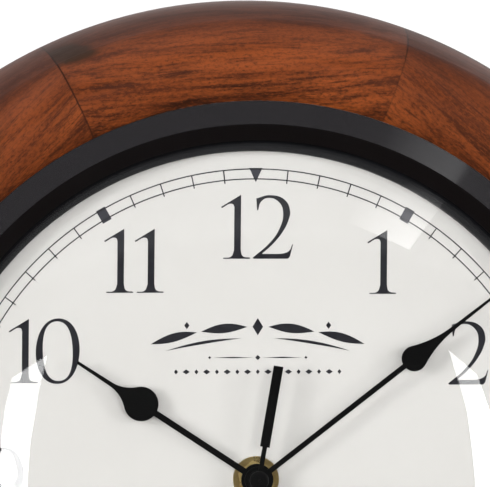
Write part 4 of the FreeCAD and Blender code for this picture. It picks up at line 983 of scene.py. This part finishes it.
# how much browner some of the ring's segments are: each piece's own tone, and on segments 2 and 8,
# beside the top one, also painted shade where the light falls off to the sides
BROWNER_TONE_AND_SHADE = {1: 0.08, 2: 0.26, 3: 0.10, 4: 0.18, 6: 0.12, 8: 0.25}
for number in range(1, SEGMENTS + 1):
    middle = math.radians(SEAM_ANGLE + (number - 1.5) * 360 / SEGMENTS)
    wood = wood_material(f"ring_wood_{number}", tuple(CENTRE), -middle, number,
                         BROWNER_TONE_AND_SHADE.get(number, 0.0), HALF_SEGMENT, KNOT if number == 1 else None)
    dress(wood, f"ring_segment_{number}")
dress(wood_material("base_wood", (0, 0, 0), 0, 31),
      "base_slab", "base_cheek_left", "base_cheek_right")
dress(bezel_material(), "bezel_ring")
dress(satin_black("lip_black", (0.004, 0.004, 0.005), 0.5, 0.06), "dial_spacer_ring")
GLASS = glass_material()
dress(GLASS, "dome_glass")
clear_dome(GLASS)
dress(card_material(), "dial_paper")
dress(satin_black("hand_black", (0.002, 0.002, 0.002), 0.4, 0.12),
      "hour_hand", "minute_hand", "second_hand", "second_hand_cap")
dress(metal("brass", (0.80, 0.61, 0.26), (0.50, 0.34, 0.11), 0.3, metallic=0.88),
      "threaded_bushing", "brass_washer", "hex_nut", "back_panel_screws", "door_pull",
      "door_hinge_leaf", "frame_hinge_leaf")
dress(metal("steel", (0.62, 0.62, 0.63), (0.42, 0.42, 0.44), 0.32),
      "dial_board_screws", "hinge_pin", "door_strike", "cheek_screws", "ring_screws",
      "stator", "quartz_crystal", "battery_contact_positive", "battery_contact_negative")
dress(plastic("fibreboard", (0.24, 0.15, 0.08), 0.8, 0.35, 0.0001), "dial_board")
dress(plastic("panel_paint", (0.026, 0.023, 0.021), 0.6, 0.3, 0.0001),
      "back_panel", "access_door")
dress(plastic("rubber", (0.012, 0.012, 0.012), 0.75, 0.2), "glass_gasket", "rubber_washer")
dress(felt_material(), "felt_pads")
dress(plastic("case_plastic", (0.014, 0.014, 0.015), 0.5, 0.2, 0.00006),
      "movement_front_case", "movement_back_cover", "setting_knob")
dress(plastic("gear_nylon", (0.72, 0.71, 0.66), 0.4),
      "movement_middle_plate", "step_wheel", "third_wheel", "centre_wheel", "minute_tube",
      "reverse_wheel", "hour_wheel")
dress(arbor_material(), "seconds_wheel")
dress(plastic("ferrite", (0.03, 0.03, 0.033), 0.6, 0.3), "rotor", "magnet_catch")
dress(metal("copper", (0.75, 0.32, 0.14), (0.50, 0.18, 0.07), 0.35, (2500, 60, 60)),
      "stepper_coil")
dress(plastic("circuit", (0.02, 0.13, 0.05), 0.35, 0.3), "circuit_board")
dress(plastic("chip_epoxy", (0.01, 0.01, 0.01), 0.3, 0.2), "timing_chip")
dress(plastic("battery_wrap", (0.03, 0.05, 0.11), 0.3, 0.2), "aa_battery")

# --------------------------------------------------------------------- floor

FLOOR_RADIUS = 2.1
FLOOR_SIDES = 128


def make_floor():
    """A round table top. Farther out it would be dark, for want of lamps."""
    mesh = bpy.data.meshes.new("floor")
    turns = [math.tau * side / FLOOR_SIDES for side in range(FLOOR_SIDES)]
    corners = [(FLOOR_RADIUS * math.cos(turn), FLOOR_RADIUS * math.sin(turn), 0) for turn in turns]
    mesh.from_pydata(corners, [], [list(range(FLOOR_SIDES))])
    floor = new_object("floor", mesh, floor_material())
    floor.visible_glossy = False
    floor.visible_transmission = False


make_floor()
